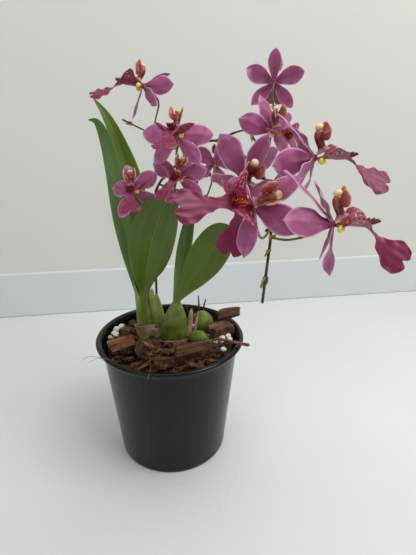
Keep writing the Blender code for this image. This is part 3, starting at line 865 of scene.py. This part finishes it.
# leaves: stations of (x, y, z, half width) in mm, facing, fold in degrees, finish, wave in mm
leaves = {
    "leaf_tall": (
        ((-20.5, 14, 103, 3.2), (-20, 17, 114, 2.8), (-20, 20, 124.5, 3.4), (-22, 26, 148, 7.5),
         (-26, 32, 180, 10.0),
         (-31, 38, 207, 9.0), (-37, 41, 230, 5.5), (-45, 44, 248, 3.2), (-54, 45, 261, 0.3)),
        (0.25, -1.0, 0.15), 20, "leafYellowGreen", 0.7),
    "leaf_tall_side": (
        ((-22, 13, 105, 3.0), (-24, 14, 115, 2.6), (-25.5, 15, 124.5, 2.8), (-29, 17, 150, 6.0),
         (-34, 20, 180, 7.0),
         (-38, 24, 210, 6.5), (-43, 28, 232, 4.6), (-48, 28, 244, 2.4), (-54, 27, 246, 0.3)),
        (-0.15, -1.0, 0.1), 16, "leafGreyGreen", 0.6),
    "leaf_broad": (
        ((-19, 7.5, 94, 2.4), (-19.6, 7.8, 103, 2.8), (-20.2, 9.4, 114, 3.0), (-20, 12, 124.5, 3.8),
         (-18, 9, 138, 8.5),
         (-15, 6, 150, 13.5), (-11, 2, 166, 16.2), (-4, -2, 186, 14.0), (3, -5, 199, 7.5), (7, -6, 206, 0.3)),
        (0.0, -1.0, 0.25), 16, "leafDeep", 0.8),
    "leaf_narrow": (
        ((4.0, 3.2, 110, 2.2), (4.5, 5.2, 121, 2.0), (8.0, 12, 140, 4.6), (12, 18, 160, 5.6),
         (16, 21, 182, 3.8),
         (19, 23, 200, 2.6), (21, 25, 214, 0.3)),
        (-0.35, -1.0, 0.1), 22, "leafGreyGreen", 0.4),
    "leaf_right": (
        ((3.8, 2.4, 110, 2.8), (6.0, 2, 121, 2.6), (12, 1, 131, 6.0), (20, -2, 144, 11.0),
         (29, -7, 159, 14.0),
         (36, -11, 170, 13.0), (41, -14, 178, 8.0), (43.5, -15.5, 182, 0.3)),
        (-0.35, -1.0, 0.55), 14, "leafDeep", 0.6),
}


def makeLeafFinish(name, tones):
    finish, shader, wire, spots, across = startFinish(
        name, 0.40, Subsurface_Weight=0.10, Subsurface_Radius=(0.2, 0.5, 0.1), Subsurface_Scale=0.002)
    side, up = splitUv(wire, across)
    middle = abs(side - 0.5)
    wander = wire.noise(across, 1.0, 2.0, (1.0, 4.0, 1.0))
    veins = (side * 210.0 + wander * 2.2).sine() * 0.5 + 0.5
    wide = (side * 34.0 + wander * 1.4).sine() * 0.5 + 0.5
    mottle = wire.noise(spots, 70.0, 5.0)
    tone = mottle * 0.30 + wide * 0.05 + veins * 0.05 + (1 - up) * 0.26 + 0.14
    blade = tone.ramp((0.2, tones[0]), (0.5, tones[1]), (0.9, tones[2]))
    rib = 1 - middle.between(0.004, 0.022)
    withRib = (rib * 0.35).mix(blade, tones[2])
    edge = middle.between(0.485, 0.5)
    plug(wire, shader, (edge * 0.5).mix(withRib, tones[2]), 0.34 + mottle * 0.18,
         veins * 0.4 + wide * 0.35 + mottle * 0.5 - rib * 1.4, 0.26, 0.0004)
    return finish


def makeLeaves():
    finishes = {name: makeLeafFinish(name, tones) for name, tones in leafTones.items()}
    rows = 56
    for node, (stations, facing, fold, tone, wave) in leaves.items():
        points = smoothRoute([Vector(station[:3]) for station in stations], rows + 1)
        halves = smoothRoute([Vector((station[3], 0, 0)) for station in stations], rows + 1)
        facing = Vector(facing).normalized()
        rise = math.tan(math.radians(fold))
        piece = addSheet(node + "_blade", 14, rows)

        def place(side, along):
            i = round(along * rows)
            way = points[min(i + 1, rows)] - points[max(i - 1, 0)]
            across = way.cross(facing).normalized()
            out = across.cross(way).normalized()
            half = max(halves[i].x, 0.25)
            keel = math.sqrt(side * side + 0.012) - 0.11
            curl = 0.55 * (1 - along) ** 3
            lift = half * keel * (rise + curl * 1.3) - 0.10 * half * side ** 4
            swing = math.sin(along * 17 + (2.2 if side > 0 else 0))
            ripple = wave * side * side * swing * math.sin(math.pi * along)
            return (points[i] + across * half * side * (1 - 0.25 * curl) + out * (lift + ripple)) * mm

        shapeSheet(piece, place)
        applyModifier(piece, "SOLIDIFY", thickness=0.55 * mm, offset=0)
        smoothIt(piece, 1)
        mount(giveFinish(piece, finishes[tone]), "leaf", node)


makeBulbs()
makeSheaths()
makeLeaves()
print("bulbs and leaves grown")


# --- flower finishes ---

petalTones = {
    "heart": paint(112, 22, 58), "deep": paint(138, 44, 90), "body": paint(168, 82, 128),
    "tip": paint(204, 142, 182),
    "rim": paint(226, 176, 212),
}
lipTones = {
    "throat": paint(104, 12, 32), "lobe": paint(132, 26, 62), "waist": paint(140, 38, 84),
    "blade": paint(122, 16, 64),
    "edge": paint(152, 50, 100), "fleck": paint(222, 184, 184),
}


def makePetalFinish():
    finish, shader, wire, spots, across = startFinish(
        "petalMauve", 0.46, Subsurface_Weight=0.16, Subsurface_Radius=(0.6, 0.25, 0.45),
        Subsurface_Scale=0.0015,
        Sheen_Weight=0.15, Sheen_Roughness=0.4)
    side, up = splitUv(wire, across)
    middle = abs(side - 0.5) * 2
    veins = wire.noise(across, 1.0, 3.0, (26.0, 1.6, 1.0))
    cloud = wire.noise(spots, 190.0, 4.0)
    along = up + (cloud - 0.5) * 0.35 + (veins - 0.5) * 0.22
    base = along.ramp((0.0, petalTones["heart"]), (0.16, petalTones["deep"]), (0.5, petalTones["body"]),
                      (0.80, petalTones["body"]), (1.0, petalTones["tip"]))
    centre = (1 - middle.between(0.0, 0.75)) * 0.34
    shaded = centre.mix(base, petalTones["deep"])
    lined = (veins.between(0.50, 0.66) * 0.34).mix(shaded, petalTones["deep"])
    patches = (cloud.between(0.5, 0.72) * up * 0.35).mix(lined, petalTones["tip"])
    rim = middle.between(0.80, 0.98) * (0.40 + cloud * 0.5)
    plug(wire, shader, rim.mix(patches, petalTones["rim"]), 0.40 + cloud * 0.16,
         veins * 0.9 + cloud * 0.5, 0.40, 0.0004)
    return finish


def makeLipFinish():
    finish, shader, wire, spots, across = startFinish(
        "lipRose", 0.44, Subsurface_Weight=0.14, Subsurface_Radius=(0.6, 0.15, 0.3), Subsurface_Scale=0.0015)
    side, up = splitUv(wire, across)
    middle = abs(side - 0.5) * 2
    veins = wire.noise(across, 1.0, 3.0, (18.0, 3.0, 1.0))
    cloud = wire.noise(spots, 230.0, 4.0)
    base = (up + (cloud - 0.5) * 0.12).ramp(
        (0.0, lipTones["throat"]), (0.16, lipTones["lobe"]), (0.36, lipTones["lobe"]),
        (0.5, lipTones["waist"]),
        (0.66, lipTones["blade"]), (1.0, lipTones["blade"]))
    lined = (veins.between(0.48, 0.66) * 0.4).mix(base, lipTones["throat"])
    lobe = up.between(0.12, 0.2) * (1 - up.between(0.3, 0.4)) * middle.between(0.3, 0.6)
    flecks = wire.noise(across, 1.0, 4.0, (22.0, 30.0, 1.0)).between(0.56, 0.62) * lobe * 0.75
    flecked = flecks.mix(lined, lipTones["fleck"])
    rim = middle.between(0.8, 0.98) * 0.55
    plug(wire, shader, rim.mix(flecked, lipTones["edge"]), 0.38 + cloud * 0.16, veins + cloud * 0.5, 0.34,
         0.0004)
    return finish


def makeRampFinish(name, roughness, stops, speckle, speckColour, fine=420.0, **fixed):
    # colours run along the piece's second UV direction, 0 at its foot
    finish, shader, wire, spots, across = startFinish(name, roughness, **fixed)
    _, up = splitUv(wire, across)
    grain = wire.noise(spots, fine, 4.0)
    base = (up + (grain - 0.5) * 0.22).ramp(*((spot, paint(*colour)) for spot, colour in stops))
    specks = grain.between(0.56, 0.64) * speckle
    plug(wire, shader, specks.mix(base, paint(*speckColour)), roughness - 0.06 + grain * 0.14, grain, 0.3,
         0.0003)
    return finish


petalFinish = makePetalFinish()
lipFinish = makeLipFinish()
callusFinish = makeRampFinish(
    "callusTeeth", 0.34, ((0.0, (206, 120, 26)), (0.32, (168, 48, 14)), (0.6, (110, 12, 14)),
                          (1.0, (74, 4, 12))),
    0.35, (214, 130, 30), Coat_Weight=0.3, Coat_Roughness=0.25)
auricleFinish = makeRampFinish(
    "auricleYellow", 0.36, ((0.0, (200, 120, 40)), (0.35, (236, 208, 44)), (1.0, (246, 226, 88))),
    0.3, (190, 90, 30), Coat_Weight=0.25, Coat_Roughness=0.3)
columnFinish = makeRampFinish(
    "columnRed", 0.38, ((0.0, (232, 214, 190)), (0.16, (208, 160, 150)), (0.3, (120, 16, 26)),
                        (0.62, (104, 8, 18)), (0.85, (158, 66, 62)), (1.0, (196, 130, 100))),
    0.3, (190, 120, 90), Coat_Weight=0.2)
wingFinish = makeRampFinish(
    "wingRed", 0.42, ((0.0, (118, 18, 28)), (0.5, (160, 58, 54)), (0.85, (190, 104, 84)),
                      (1.0, (226, 190, 150))),
    0.55, (222, 176, 132), 520.0)
capFinish = makeRampFinish(
    "capCream", 0.36, ((0.0, (190, 130, 84)), (0.35, (226, 198, 140)), (1.0, (238, 220, 170))),
    0.35, (196, 140, 84), Coat_Weight=0.2)
print("flower finishes mixed")


# --- flowers ---

# hub in mm, size, facing, the way the column points, then for each tepal its angle and sweep, and where they
# are not the usual ones its width share, twist, bend and length share; in the order dorsal, petals, lower
# sepals; last come the settings of the lip: twist and droop in degrees, and how much wider its side lobes are
flowers = (
    ((-15, 26, 267), 1.00, (-1.0, -0.10, 0.20), (0.10, 0.30, 0.95),
     ((110, 40, 0.6), (4, 56, 1.2, 20), (-172, 20), (-50, 24), (-105, -15, 0.7, 40)),
     {"twist": -40, "droop": -9}),
    ((8, 8, 237), 1.08, (-0.15, -0.97, 0.35), (0.05, 0.20, 1.00),
     ((70, 45), (5, 8), (178, 0), (-47, 8), (-128, 0)), {}),
    ((8, 8, 210), 0.95, (-0.10, -0.97, 0.15), (0.30, 0.10, 0.95),
     ((82, 40), (31, 8), (170, 10), (-22, 0), (-112, 10)), {}),
    ((-22, 1, 202), 0.92, (0.05, -1.0, 0.25), (-0.10, 0.20, 1.00),
     ((97, 20), (32, 2), (162, 35), (-34, 4), (-122, 2)), {}),
    ((65, -30, 240), 0.95, (0.55, -0.80, -0.10), (-0.15, 0.0, 1.00),
     ((95, 20), (11, 8), (155, 20), (-42, 2), (-125, 0)), {}),
    ((66, -18, 266), 0.78, (0.20, 0.97, 0.10), (0.07, 0.0, 1.00),
     ((86, 0), (20, -4), (156, -4), (-48, 0), (-134, 0)), {"lobes": 0.45}),
    ((77, -83, 230), 1.02, (0.98, -0.15, 0.08), (-0.05, 0.0, 1.00),
     ((89, 32, 0.9, 15, 0, 1.15), (-175, 52), (33, 18), (-146, 24), (-52, 4, 0.9, 40)),
     {"twist": 38, "droop": -7}),
    ((80, -111, 206), 1.0, (0.97, -0.20, 0.10), (-0.10, 0.0, 1.00),
     ((92, 32, 0.7, 20, 0, 1.35), (150, 58), (50, 12), (-100, 2, 0.98, 60), (-62, 8, 0.6)),
     {"twist": 62, "droop": 4}),
    ((48, -98, 211), 1.06, (-0.58, -0.75, 0.32), (0.85, -0.40, 0.40),
     ((106, 6), (48, 22), (176, 40), (-28, 0), (-145, 8)), {}),
    ((46, -71, 219), 1.10, (-0.05, -0.74, -0.64), (0.30, -0.35, 0.90),
     ((72, 32), (30, 40), (150, 36), (-58, 20), (-124, 20)), {}),
    ((33, 20, 217), 0.85, (-0.20, 0.95, 0.10), (0.30, 0.0, 1.00),
     ((93, 4), (20, 0), (155, 0), (-48, -2), (-132, 0)), {}),
)
usualWidths = (0.98, 1.28, 1.28, 0.98, 0.98)

tepalShape = {
    "length": 22.0, "width": 10.0, "bow": 0.10, "roll": 0.16, "wave": 0.55, "thickness": 0.4,
    "outline": ((0, 0.30), (0.10, 0.33), (0.24, 0.56), (0.40, 0.86), (0.56, 1.0), (0.70, 0.97), (0.83, 0.76),
                (0.93, 0.44), (0.985, 0.16), (1, 0.03)),
}
lipShape = {
    "width": 17.0, "thickness": 0.45, "notch": 1.8, "hinge": 8,
    # place along, height, reach
    "path": ((0, Vector((-0.6, 0.8))), (0.095, Vector((-0.7, 6.0))), (0.20, Vector((-1.0, 9.5))),
             (0.32, Vector((-1.8, 13.2))), (0.445, Vector((-4.6, 16.4))), (0.585, Vector((-8.2, 19.2))),
             (0.73, Vector((-11.4, 22.8))), (0.88, Vector((-14.2, 26.8))), (1, Vector((-16.4, 30.0)))),
    "halfWidth": ((0, 0.20), (0.04, 0.40), (0.09, 0.95), (0.15, 1.34), (0.21, 1.46), (0.27, 1.26),
                  (0.33, 0.72),
                  (0.39, 0.38), (0.46, 0.28), (0.52, 0.28), (0.575, 0.40), (0.61, 0.38), (0.67, 0.52),
                  (0.76, 0.76),
                  (0.86, 0.86), (0.94, 0.80), (1, 0.56)),
    "cup": ((0, 0.0), (0.08, 3.0), (0.18, 11.0), (0.28, 9.0), (0.36, 2.4), (0.44, 0.6), (0.58, 0.2),
            (0.75, -0.8), (0.9, -1.6), (1, -1.4)),
}


def flowerMatrix(hub, facing, top):
    out = Vector(facing).normalized()
    up = Vector(top)
    up = (up - out * up.dot(out)).normalized()
    matrix = Matrix((up.cross(out), up, out)).transposed().to_4x4()
    matrix.translation = Vector(hub) * mm
    return matrix


def makeTepal(size, angle, sweep, wide, twist, bend, long, chance):
    turn, back = math.radians(angle), math.radians(sweep)
    outward = Vector((math.cos(turn) * math.cos(back), math.sin(turn) * math.cos(back), -math.sin(back)))
    side = Vector((-math.sin(turn), math.cos(turn), 0))
    face = outward.cross(side)
    length = tepalShape["length"] * size * long
    twist += chance.uniform(-14, 14)
    half = tepalShape["width"] / 2 * wide * size
    phase = chance.uniform(0, 6.28)
    tipCurl = chance.uniform(-0.4, 1.0)
    piece = addSheet("tepal", 10, 22)

    def place(s, t):
        girth = readCurve(tepalShape["outline"], t)
        swing = math.radians(twist) * t * t
        across = side * math.cos(swing) + face * math.sin(swing)
        lift = face * math.cos(swing) - side * math.sin(swing)
        back = -tepalShape["bow"] * length * t * t - tipCurl * max(0, t - 0.8) ** 2 * 22
        keel = 0.10 * half * math.exp(-(s / 0.16) ** 2) * (1 - t)
        roll = -tepalShape["roll"] * half * (s * s * girth) + keel
        edge = abs(s) ** 2.2 * math.sin(math.pi * min(1, t * 1.15))
        wave = tepalShape["wave"] * wide ** 2 * edge * math.sin(t * 15 + phase + (1.9 if s > 0 else 0))
        cloud = 1.1 * noise.noise(Vector((s * 1.3, t * 2.8, phase)))
        cloud += 0.3 * noise.noise(Vector((s * 4, t * 5, phase)))
        along = length * t * (1 + 0.02 * math.sin(phase + s * 3))
        return (outward * along + across * (s * half * girth) + side * (bend * t * t)
                + lift * (back + roll + wave + cloud * t)) * mm

    shapeSheet(piece, place)
    return piece


def makeTepals(name, number, size, tepals):
    chance = random.Random(100 + number)
    made = []
    for (angle, sweep, *more), usual in zip(tepals, usualWidths):
        wide, twist, bend, long = list(more) + [usual, 0, 0, 1][len(more):]
        made.append(makeTepal(size, angle, sweep, wide, twist, bend, long, chance))
    piece = joinPieces(name, made)
    applyModifier(piece, "SOLIDIFY", thickness=tepalShape["thickness"] * mm, offset=0)
    hub = addBall("hub", 16, 10)

    def place(x, y, up):
        wide = math.sin(math.pi * up)
        return Vector((x * wide * 1.9, y * wide * 1.9, -1.6 * math.cos(math.pi * up) - 0.4)) * size * mm

    shapeBall(hub, place)
    paintUv(hub, lambda co: (0.5, 0.08))
    piece = joinPieces(name, [piece, hub])
    smoothIt(piece, 1)
    return giveFinish(piece, petalFinish)


def makeLip(name, number, size, settings):
    chance = random.Random(300 + number)
    phase = chance.uniform(0, 6.28)
    twist, lobes, droop = (settings.get(key, 0) for key in ("twist", "lobes", "droop"))
    hinge = Vector((0, 0, lipShape["hinge"]))
    piece = addSheet(name, 22, 44)

    def place(s, t):
        spot = readCurve(lipShape["path"], t)
        ahead = readCurve(lipShape["path"], min(1, t + 0.02)) - readCurve(lipShape["path"], max(0, t - 0.02))
        ahead.normalize()
        along = Vector((0, ahead.x, ahead.y))
        top = Vector((0, ahead.y, -ahead.x))
        wider = 1 + lobes * math.exp(-((t - 0.2) / 0.1) ** 2)
        girth = readCurve(lipShape["halfWidth"], t) * wider * lipShape["width"] / 2
        far = max(0.0, min(1.0, (t - 0.42) / 0.22))
        swing = math.radians(twist) * far * far * (3 - 2 * far)
        across = Vector((1, 0, 0)) * math.cos(swing) + top * math.sin(swing)
        lift = top * math.cos(swing) - Vector((1, 0, 0)) * math.sin(swing)
        cup = readCurve(lipShape["cup"], t) * (s * s - 0.55 * s ** 4)
        ruffle = (0.75 if t > 0.6 else 0.35) * abs(s) ** 3 * math.sin(t * 34 + s * 4 + phase)
        pleat = 0.25 * math.sin(s * 12 + phase) * max(0.0, t - 0.62) * 2.2
        notch = -lipShape["notch"] * math.exp(-(s / 0.2) ** 2) * max(0.0, (t - 0.76) / 0.24) ** 2
        bulge = 1.0 * (1 - (2 * abs(s) - 1) ** 2) * max(0.0, (t - 0.8) / 0.2)
        sweep = -2.2 * (abs(s) ** 2) * math.exp(-((t - 0.2) / 0.12) ** 2)
        centre = Vector((0, spot.x, spot.y))
        point = centre + across * s * girth + lift * (cup + ruffle + pleat) + along * (notch + bulge + sweep)
        bent = math.radians(droop) * max(0.0, min(1.0, (point.z - hinge.z) / 8))
        return (Matrix.Rotation(bent, 3, "X") @ (point - hinge) + hinge) * size * mm

    shapeSheet(piece, place)
    applyModifier(piece, "SOLIDIFY", thickness=lipShape["thickness"] * mm, offset=0)
    smoothIt(piece, 1)
    return giveFinish(piece, lipFinish)


callusShape = {
    "start": 3.8, "length": 12.4, "toothFoot": 0.60, "toothTip": 0.12,
    # rows of teeth: place along, how many, length, lean
    "rows": ((5.0, 1, 1.2, 0.1), (6.6, 2, 1.4, 0.2), (8.2, 2, 1.6, 0.3), (9.8, 3, 1.8, 0.5),
             (11.4, 3, 2.0, 0.7),
             (13.0, 4, 2.4, 1.0), (14.4, 4, 2.9, 1.5), (15.6, 3, 3.1, 2.2), (16.2, 2, 2.8, 3.4)),
}


def makeCallus():
    # a mound with rows of teeth on the lip, in the flower's own axes at size 1
    low, long = callusShape["start"], callusShape["length"]
    mound = addBall("mound", 18, 16)

    def place(x, y, up):
        wide = math.sin(math.pi * up) ** 0.7
        return Vector((x * wide * (1.7 + 0.9 * up), 0.2 - 1.0 * up + 1.25 * y * wide, low + long * up)) * mm

    shapeBall(mound, place)
    paintUv(mound, lambda co: (0.5, 0.05 + 0.5 * (co.z / mm - low) / long))
    made = [mound]
    chance = random.Random(44)
    for reach, count, tall, lean in callusShape["rows"]:
        for i in range(count):
            side = (i - (count - 1) / 2) * (1.25 if count > 2 else 1.7)
            clearSelection()
            bpy.ops.mesh.primitive_cone_add(vertices=8, radius1=callusShape["toothFoot"] * mm,
                                            radius2=callusShape["toothTip"] * mm, depth=tall * mm)
            tooth = callIt("tooth")
            editWhole(tooth, bpy.ops.mesh.subdivide, number_cuts=1)
            paintUv(tooth, lambda co: (0.5, min(1.0, (reach - 4) / 22 + 0.5 * (co.z / mm / tall + 0.5))))
            for vert in tooth.data.vertices:
                vert.co.x += chance.uniform(-0.08, 0.08) * mm
                vert.co.y += chance.uniform(-0.08, 0.08) * mm
            way = Vector((side * 0.28 + chance.uniform(-0.15, 0.15), 1.0, lean + chance.uniform(-0.1, 0.2)))
            foot = Vector((side, 0.95 - 0.09 * (reach - 4), reach))
            matrix = way.to_track_quat("Z", "Y").to_matrix().to_4x4()
            matrix.translation = (foot + way.normalized() * tall * 0.38) * mm
            made.append(setInPlace(tooth, matrix))
    piece = joinPieces("callus_model", made)
    smoothIt(piece, 0, 60)
    return giveFinish(piece, callusFinish)


def makeAuricles():
    made = []
    for side in (-1, 1):
        ball = addBall("auricle", 14, 10)
        shapeBall(ball, lambda x, y, up: Vector((
            side * (2.0 + 3.0 * (0.5 - 0.5 * math.cos(math.pi * up))),
            -1.3 + 1.6 * y * math.sin(math.pi * up), 3.2 + 1.6 * x * math.sin(math.pi * up) - 0.6 * up)) * mm)
        paintUv(ball, lambda co: (0.5, min(1.0, abs(co.x) / mm / 5)))
        made.append(ball)
    piece = joinPieces("auricle_model", made)
    faceOut(piece)
    smoothIt(piece, 1)
    return giveFinish(piece, auricleFinish)


columnShape = {
    # the way it grows and the side that faces the lip, then where it starts, in the flower's own axes
    "way": (0, 0.965, -0.26), "front": (0, 0.26, 0.965), "start": (0, 0.8, 4.6), "root": (0, 0.2, -3.8),
    "length": 12.2, "capStart": 10.9, "capLength": 2.9, "wingStart": 7.8, "wingThickness": 0.45,
    "girths": ((0, 0.8), (0.08, 1.9), (0.18, 2.3), (0.32, 1.9), (0.5, 2.0), (0.7, 2.3), (0.86, 2.0),
               (0.96, 1.0),
               (1, 0.1)),
    "wing": ((0, 1.4), (0.25, 2.1), (0.6, 3.1), (0.85, 3.0), (1, 2.0)),
}


def makeColumn():
    way, front = Vector(columnShape["way"]).normalized(), Vector(columnShape["front"]).normalized()
    start, length = Vector(columnShape["start"]), columnShape["length"]
    capStart, capLength = columnShape["capStart"], columnShape["capLength"]

    def shareAlong(first, span):
        return lambda co: (0.5, max(0.0, min(1.0, ((co / mm - start).dot(way) - first) / span)))

    def place(x, y, up):
        girth = readCurve(columnShape["girths"], up) if 0 < up < 1 else 0.0
        pit = 0.7 * math.exp(-((up - 0.76) / 0.08) ** 2) * max(0.0, y) ** 2
        bow = front * (0.8 * math.sin(math.pi * up) - 1.6 * math.exp(-((up - 0.16) / 0.1) ** 2) * max(0.0, y))
        root = Vector(columnShape["root"]) * max(0.0, 1 - up / 0.3) ** 2
        return (start + root + way * (length * up) - bow + Vector((x * girth, 0, 0))
                + front * (y * girth * 0.95 - pit)) * mm

    def placeCap(x, y, up):
        wide = math.sin(math.pi * up)
        return (start + way * (capStart + capLength * (0.5 - 0.5 * math.cos(math.pi * up)))
                + Vector((x * wide * 1.75, 0, 0))
                + front * (y * wide * 1.7 + 0.3 + 0.7 * max(0.0, y) ** 2 * (1 - up))) * mm

    body = addBall("body", 24, 24)
    shapeBall(body, place)
    paintUv(body, shareAlong(0, length))
    smoothIt(body, 1)
    cap = addBall("cap", 22, 16)
    shapeBall(cap, placeCap)
    paintUv(cap, shareAlong(capStart, capLength))
    smoothIt(cap, 1)
    made = [giveFinish(body, columnFinish), giveFinish(cap, capFinish)]
    for side in (-1, 1):
        # ear-shaped wing with a ragged edge
        wing = addSheet("wing", 12, 12)

        def placeWing(s, t):
            tall = readCurve(columnShape["wing"], t)
            jag = 0.35 * math.sin(s * 8 + 1) * max(0.0, t - 0.55)
            jag += 0.25 * math.sin(s * 19) * max(0.0, t - 0.7)
            high = columnShape["wingStart"] + 2.4 * t + s * tall + 1.3 * t * max(0.0, s) ** 2
            spot = start + way * high + front * (0.2 + 4.6 * t - 0.9 * s * s * t)
            return (spot + Vector((side * (1.3 + 3.3 * t + jag - 0.7 * t * s * s), 0, 0))) * mm

        shapeSheet(wing, placeWing)
        applyModifier(wing, "SOLIDIFY", thickness=columnShape["wingThickness"] * mm, offset=0)
        smoothIt(wing, 1)
        made.append(giveFinish(wing, wingFinish))
    for wing in made[2:]:
        faceOut(wing)
    return joinPieces("column_model", made)


def makeFlowers():
    callus, auricles, column = makeCallus(), makeAuricles(), makeColumn()
    for number, (hub, size, facing, top, tepals, settings) in enumerate(flowers, 1):
        name = f"flower_{number:02d}"
        matrix = flowerMatrix(hub, facing, top)
        scaled = matrix @ Matrix.Scale(size, 4)
        petals = setInPlace(makeTepals(name + "_petals", number, size, tepals), matrix)
        mount(petals, "tepal", name + "_tepals")
        lip = setInPlace(makeLip(name + "_lip_sheet", number, size, settings), matrix)
        lip = joinPieces(name + "_lip_full", [lip, copyPiece(callus, scaled), copyPiece(auricles, scaled)])
        mount(lip, "lip", name + "_lip")
        made = copyPiece(column, scaled)
        made.name = made.data.name = name + "_column_full"
        mount(made, "column", name + "_column")
    for model in (callus, auricles, column):
        bpy.data.objects.remove(model)


makeFlowers()
print("flowers opened")


# --- stalks, branches and flower stems ---

stalkRoute = (
    (-12, 26, 87), (-12.5, 25, 105), (-12, 23, 130), (-11.5, 23, 155), (-12, 27, 183), (-8, 31, 201),
    (5, 30, 215),
    (20, 24, 229), (34, 10, 233), (45, -8, 229), (55.5, -27, 221), (61.5, -49, 212), (61, -66, 204),
    (60, -76, 192),
    (58, -82, 177), (56, -86, 159),
)
branchRoutes = {
    "branch_left": ((20, 24, 229), (8, 30, 230), (-6, 35, 233), (-18, 38, 239), (-33, 40, 246)),
    "branch_upper": ((34, 10, 233), (42, 2, 237), (51, -9, 240), (55, -15, 237)),
    "branch_lower": ((-8, 31, 201), (4, 31, 198), (16, 28, 195), (27, 21, 193)),
    "branch_top": ((61, -54, 212), (68, -47, 218), (68, -31, 221.5), (72, -19, 229), (72, -11, 242),
                   (67, -15, 253)),
}
flowerStems = (
    ("branch_left", (-12, 36, 236), (-9, 38, 246), (-6, 33, 258)),
    ("branch_left", (8, 30, 230), (6, 26, 223), (7, 17, 227)),
    ("flower_stalk", (5, 30, 215), (6, 24, 211)),
    ("flower_stalk", (-12, 28, 188), (-18, 20, 193)),
    ("branch_upper", (55, -15, 237), (58, -19, 233), (61, -24, 236)),
    ("branch_top", (67, -15, 253), (65, -21, 259)),
    ("flower_stalk", (60, -52, 211), (64, -62, 219), (69, -74, 226)),
    ("flower_stalk", (60, -76, 191), (67, -85, 192), (73, -99, 198)),
    ("flower_stalk", (60, -74, 195), (55, -82, 192), (51, -90, 199)),
    ("flower_stalk", (58.5, -41, 215.5), (54, -54, 219)),
    ("branch_lower", (27, 21, 193), (30, 14, 202), (32.5, 14, 212)),
)
stemSizes = {"stalk": 0.95, "branch": 0.72, "pedicel": 0.62, "ovary": 0.95}
# bracts: the stem, place along, length, girth
bracts = (("flower_stalk", 0.22, 9, 1.6), ("flower_stalk", 0.36, 9, 1.5), ("flower_stalk", 0.955, 6.5, 1.5),
          ("flower_stalk", 0.90, 4, 1.3), ("branch_left", 0.97, 5, 1.3))


def makeStemFinish(name, deep, light, accent):
    finish, shader, wire, spots, _ = startFinish(name, 0.45, Coat_Weight=0.1)
    streak = wire.noise(spots, 160.0, 4.0)
    fine = wire.noise(spots, 900.0, 3.0)
    base = streak.between(0.35, 0.7).mix(deep, light)
    plug(wire, shader, (fine.between(0.55, 0.7) * 0.4).mix(base, accent), 0.40 + streak * 0.2,
         fine + streak, 0.35, 0.0003)
    return finish


def nodeSwell(count, radius, every, loss):
    # radii that taper and swell at each joint
    swells = [1 + 0.35 * math.exp(-(((i % every) - every / 2) / 1.1) ** 2) for i in range(count)]
    return [radius * mm * (1 - loss * i / count) * swell for i, swell in enumerate(swells)]


def nearestOn(route, point):
    return min(route, key=lambda spot: (spot - point).length)


def makeStems():
    dark = makeStemFinish("stalkBrown", paint(44, 26, 20), paint(84, 60, 36), paint(110, 96, 50))
    olive = makeStemFinish("stemOlive", paint(88, 86, 34), paint(132, 128, 60), paint(120, 84, 50))
    tan = makeStemFinish("bractTan", paint(140, 112, 74), paint(190, 164, 116), paint(110, 76, 48))
    stalk = routeThrough(stalkRoute, 150)
    routes = {"flower_stalk": stalk}
    parts = {"flower_stalk": [addTube("stalk", stalk, nodeSwell(150, stemSizes["stalk"], 19, 0.25), dark, 4)]}
    for name, points in branchRoutes.items():
        route = [Vector(point) * mm for point in points]
        route[0] = nearestOn(stalk, route[0])
        routes[name] = smoothRoute(route, 48)
        parts[name] = [addTube(name, routes[name], nodeSwell(48, stemSizes["branch"], 13, 0.3), dark, 3)]
    for number, (carrier, *points) in enumerate(flowerStems, 1):
        hub, size, facing = flowers[number - 1][:3]
        route = [Vector(point) * mm for point in points]
        route[0] = nearestOn(routes[carrier], route[0])
        route.append((Vector(hub) - Vector(facing).normalized() * 0.9 * size) * mm)
        smooth = smoothRoute(route, 30)
        growth = stemSizes["ovary"] - stemSizes["pedicel"]
        radii = [mm * (stemSizes["pedicel"] + growth * max(0, i / 29 - 0.5) * 2) for i in range(30)]
        parts[carrier].append(addTube("pedicel", smooth, radii, olive, 3))
        parts[carrier].append(makeBract(smooth[0], smooth[4] - smooth[0], 3.4, 1.3, number, tan))
    for name, place, length, girth in bracts:
        route = routes[name]
        i = min(int(place * (len(route) - 1)), len(route) - 6)
        parts[name].append(makeBract(route[i], route[i + 5] - route[i], length, girth, i, tan))
    for name, made in parts.items():
        mount(joinPieces(name + "_full", made), "stalk", name)


def makeBract(foot, way, length, girth, seed, finish):
    # a papery pointed scale that clasps the stem at a joint
    piece = addSheet("bract", 8, 8)
    chance = random.Random(seed)
    turn0 = chance.uniform(0, 6.28)

    def place(s, t):
        wide = 2.6 * (1 - t) ** 0.7 + 0.05
        angle = turn0 + s * wide
        radius = girth * (0.85 + 0.55 * t + 0.25 * t * t)
        return Vector((math.cos(angle) * radius, math.sin(angle) * radius, length * t - 0.4)) * mm

    shapeSheet(piece, place)
    applyModifier(piece, "SOLIDIFY", thickness=0.16 * mm, offset=0)
    smoothIt(piece, 0)
    matrix = way.to_track_quat("Z", "Y").to_matrix().to_4x4()
    matrix.translation = foot
    return giveFinish(setInPlace(piece, matrix), finish)


makeStems()
print("stems joined")
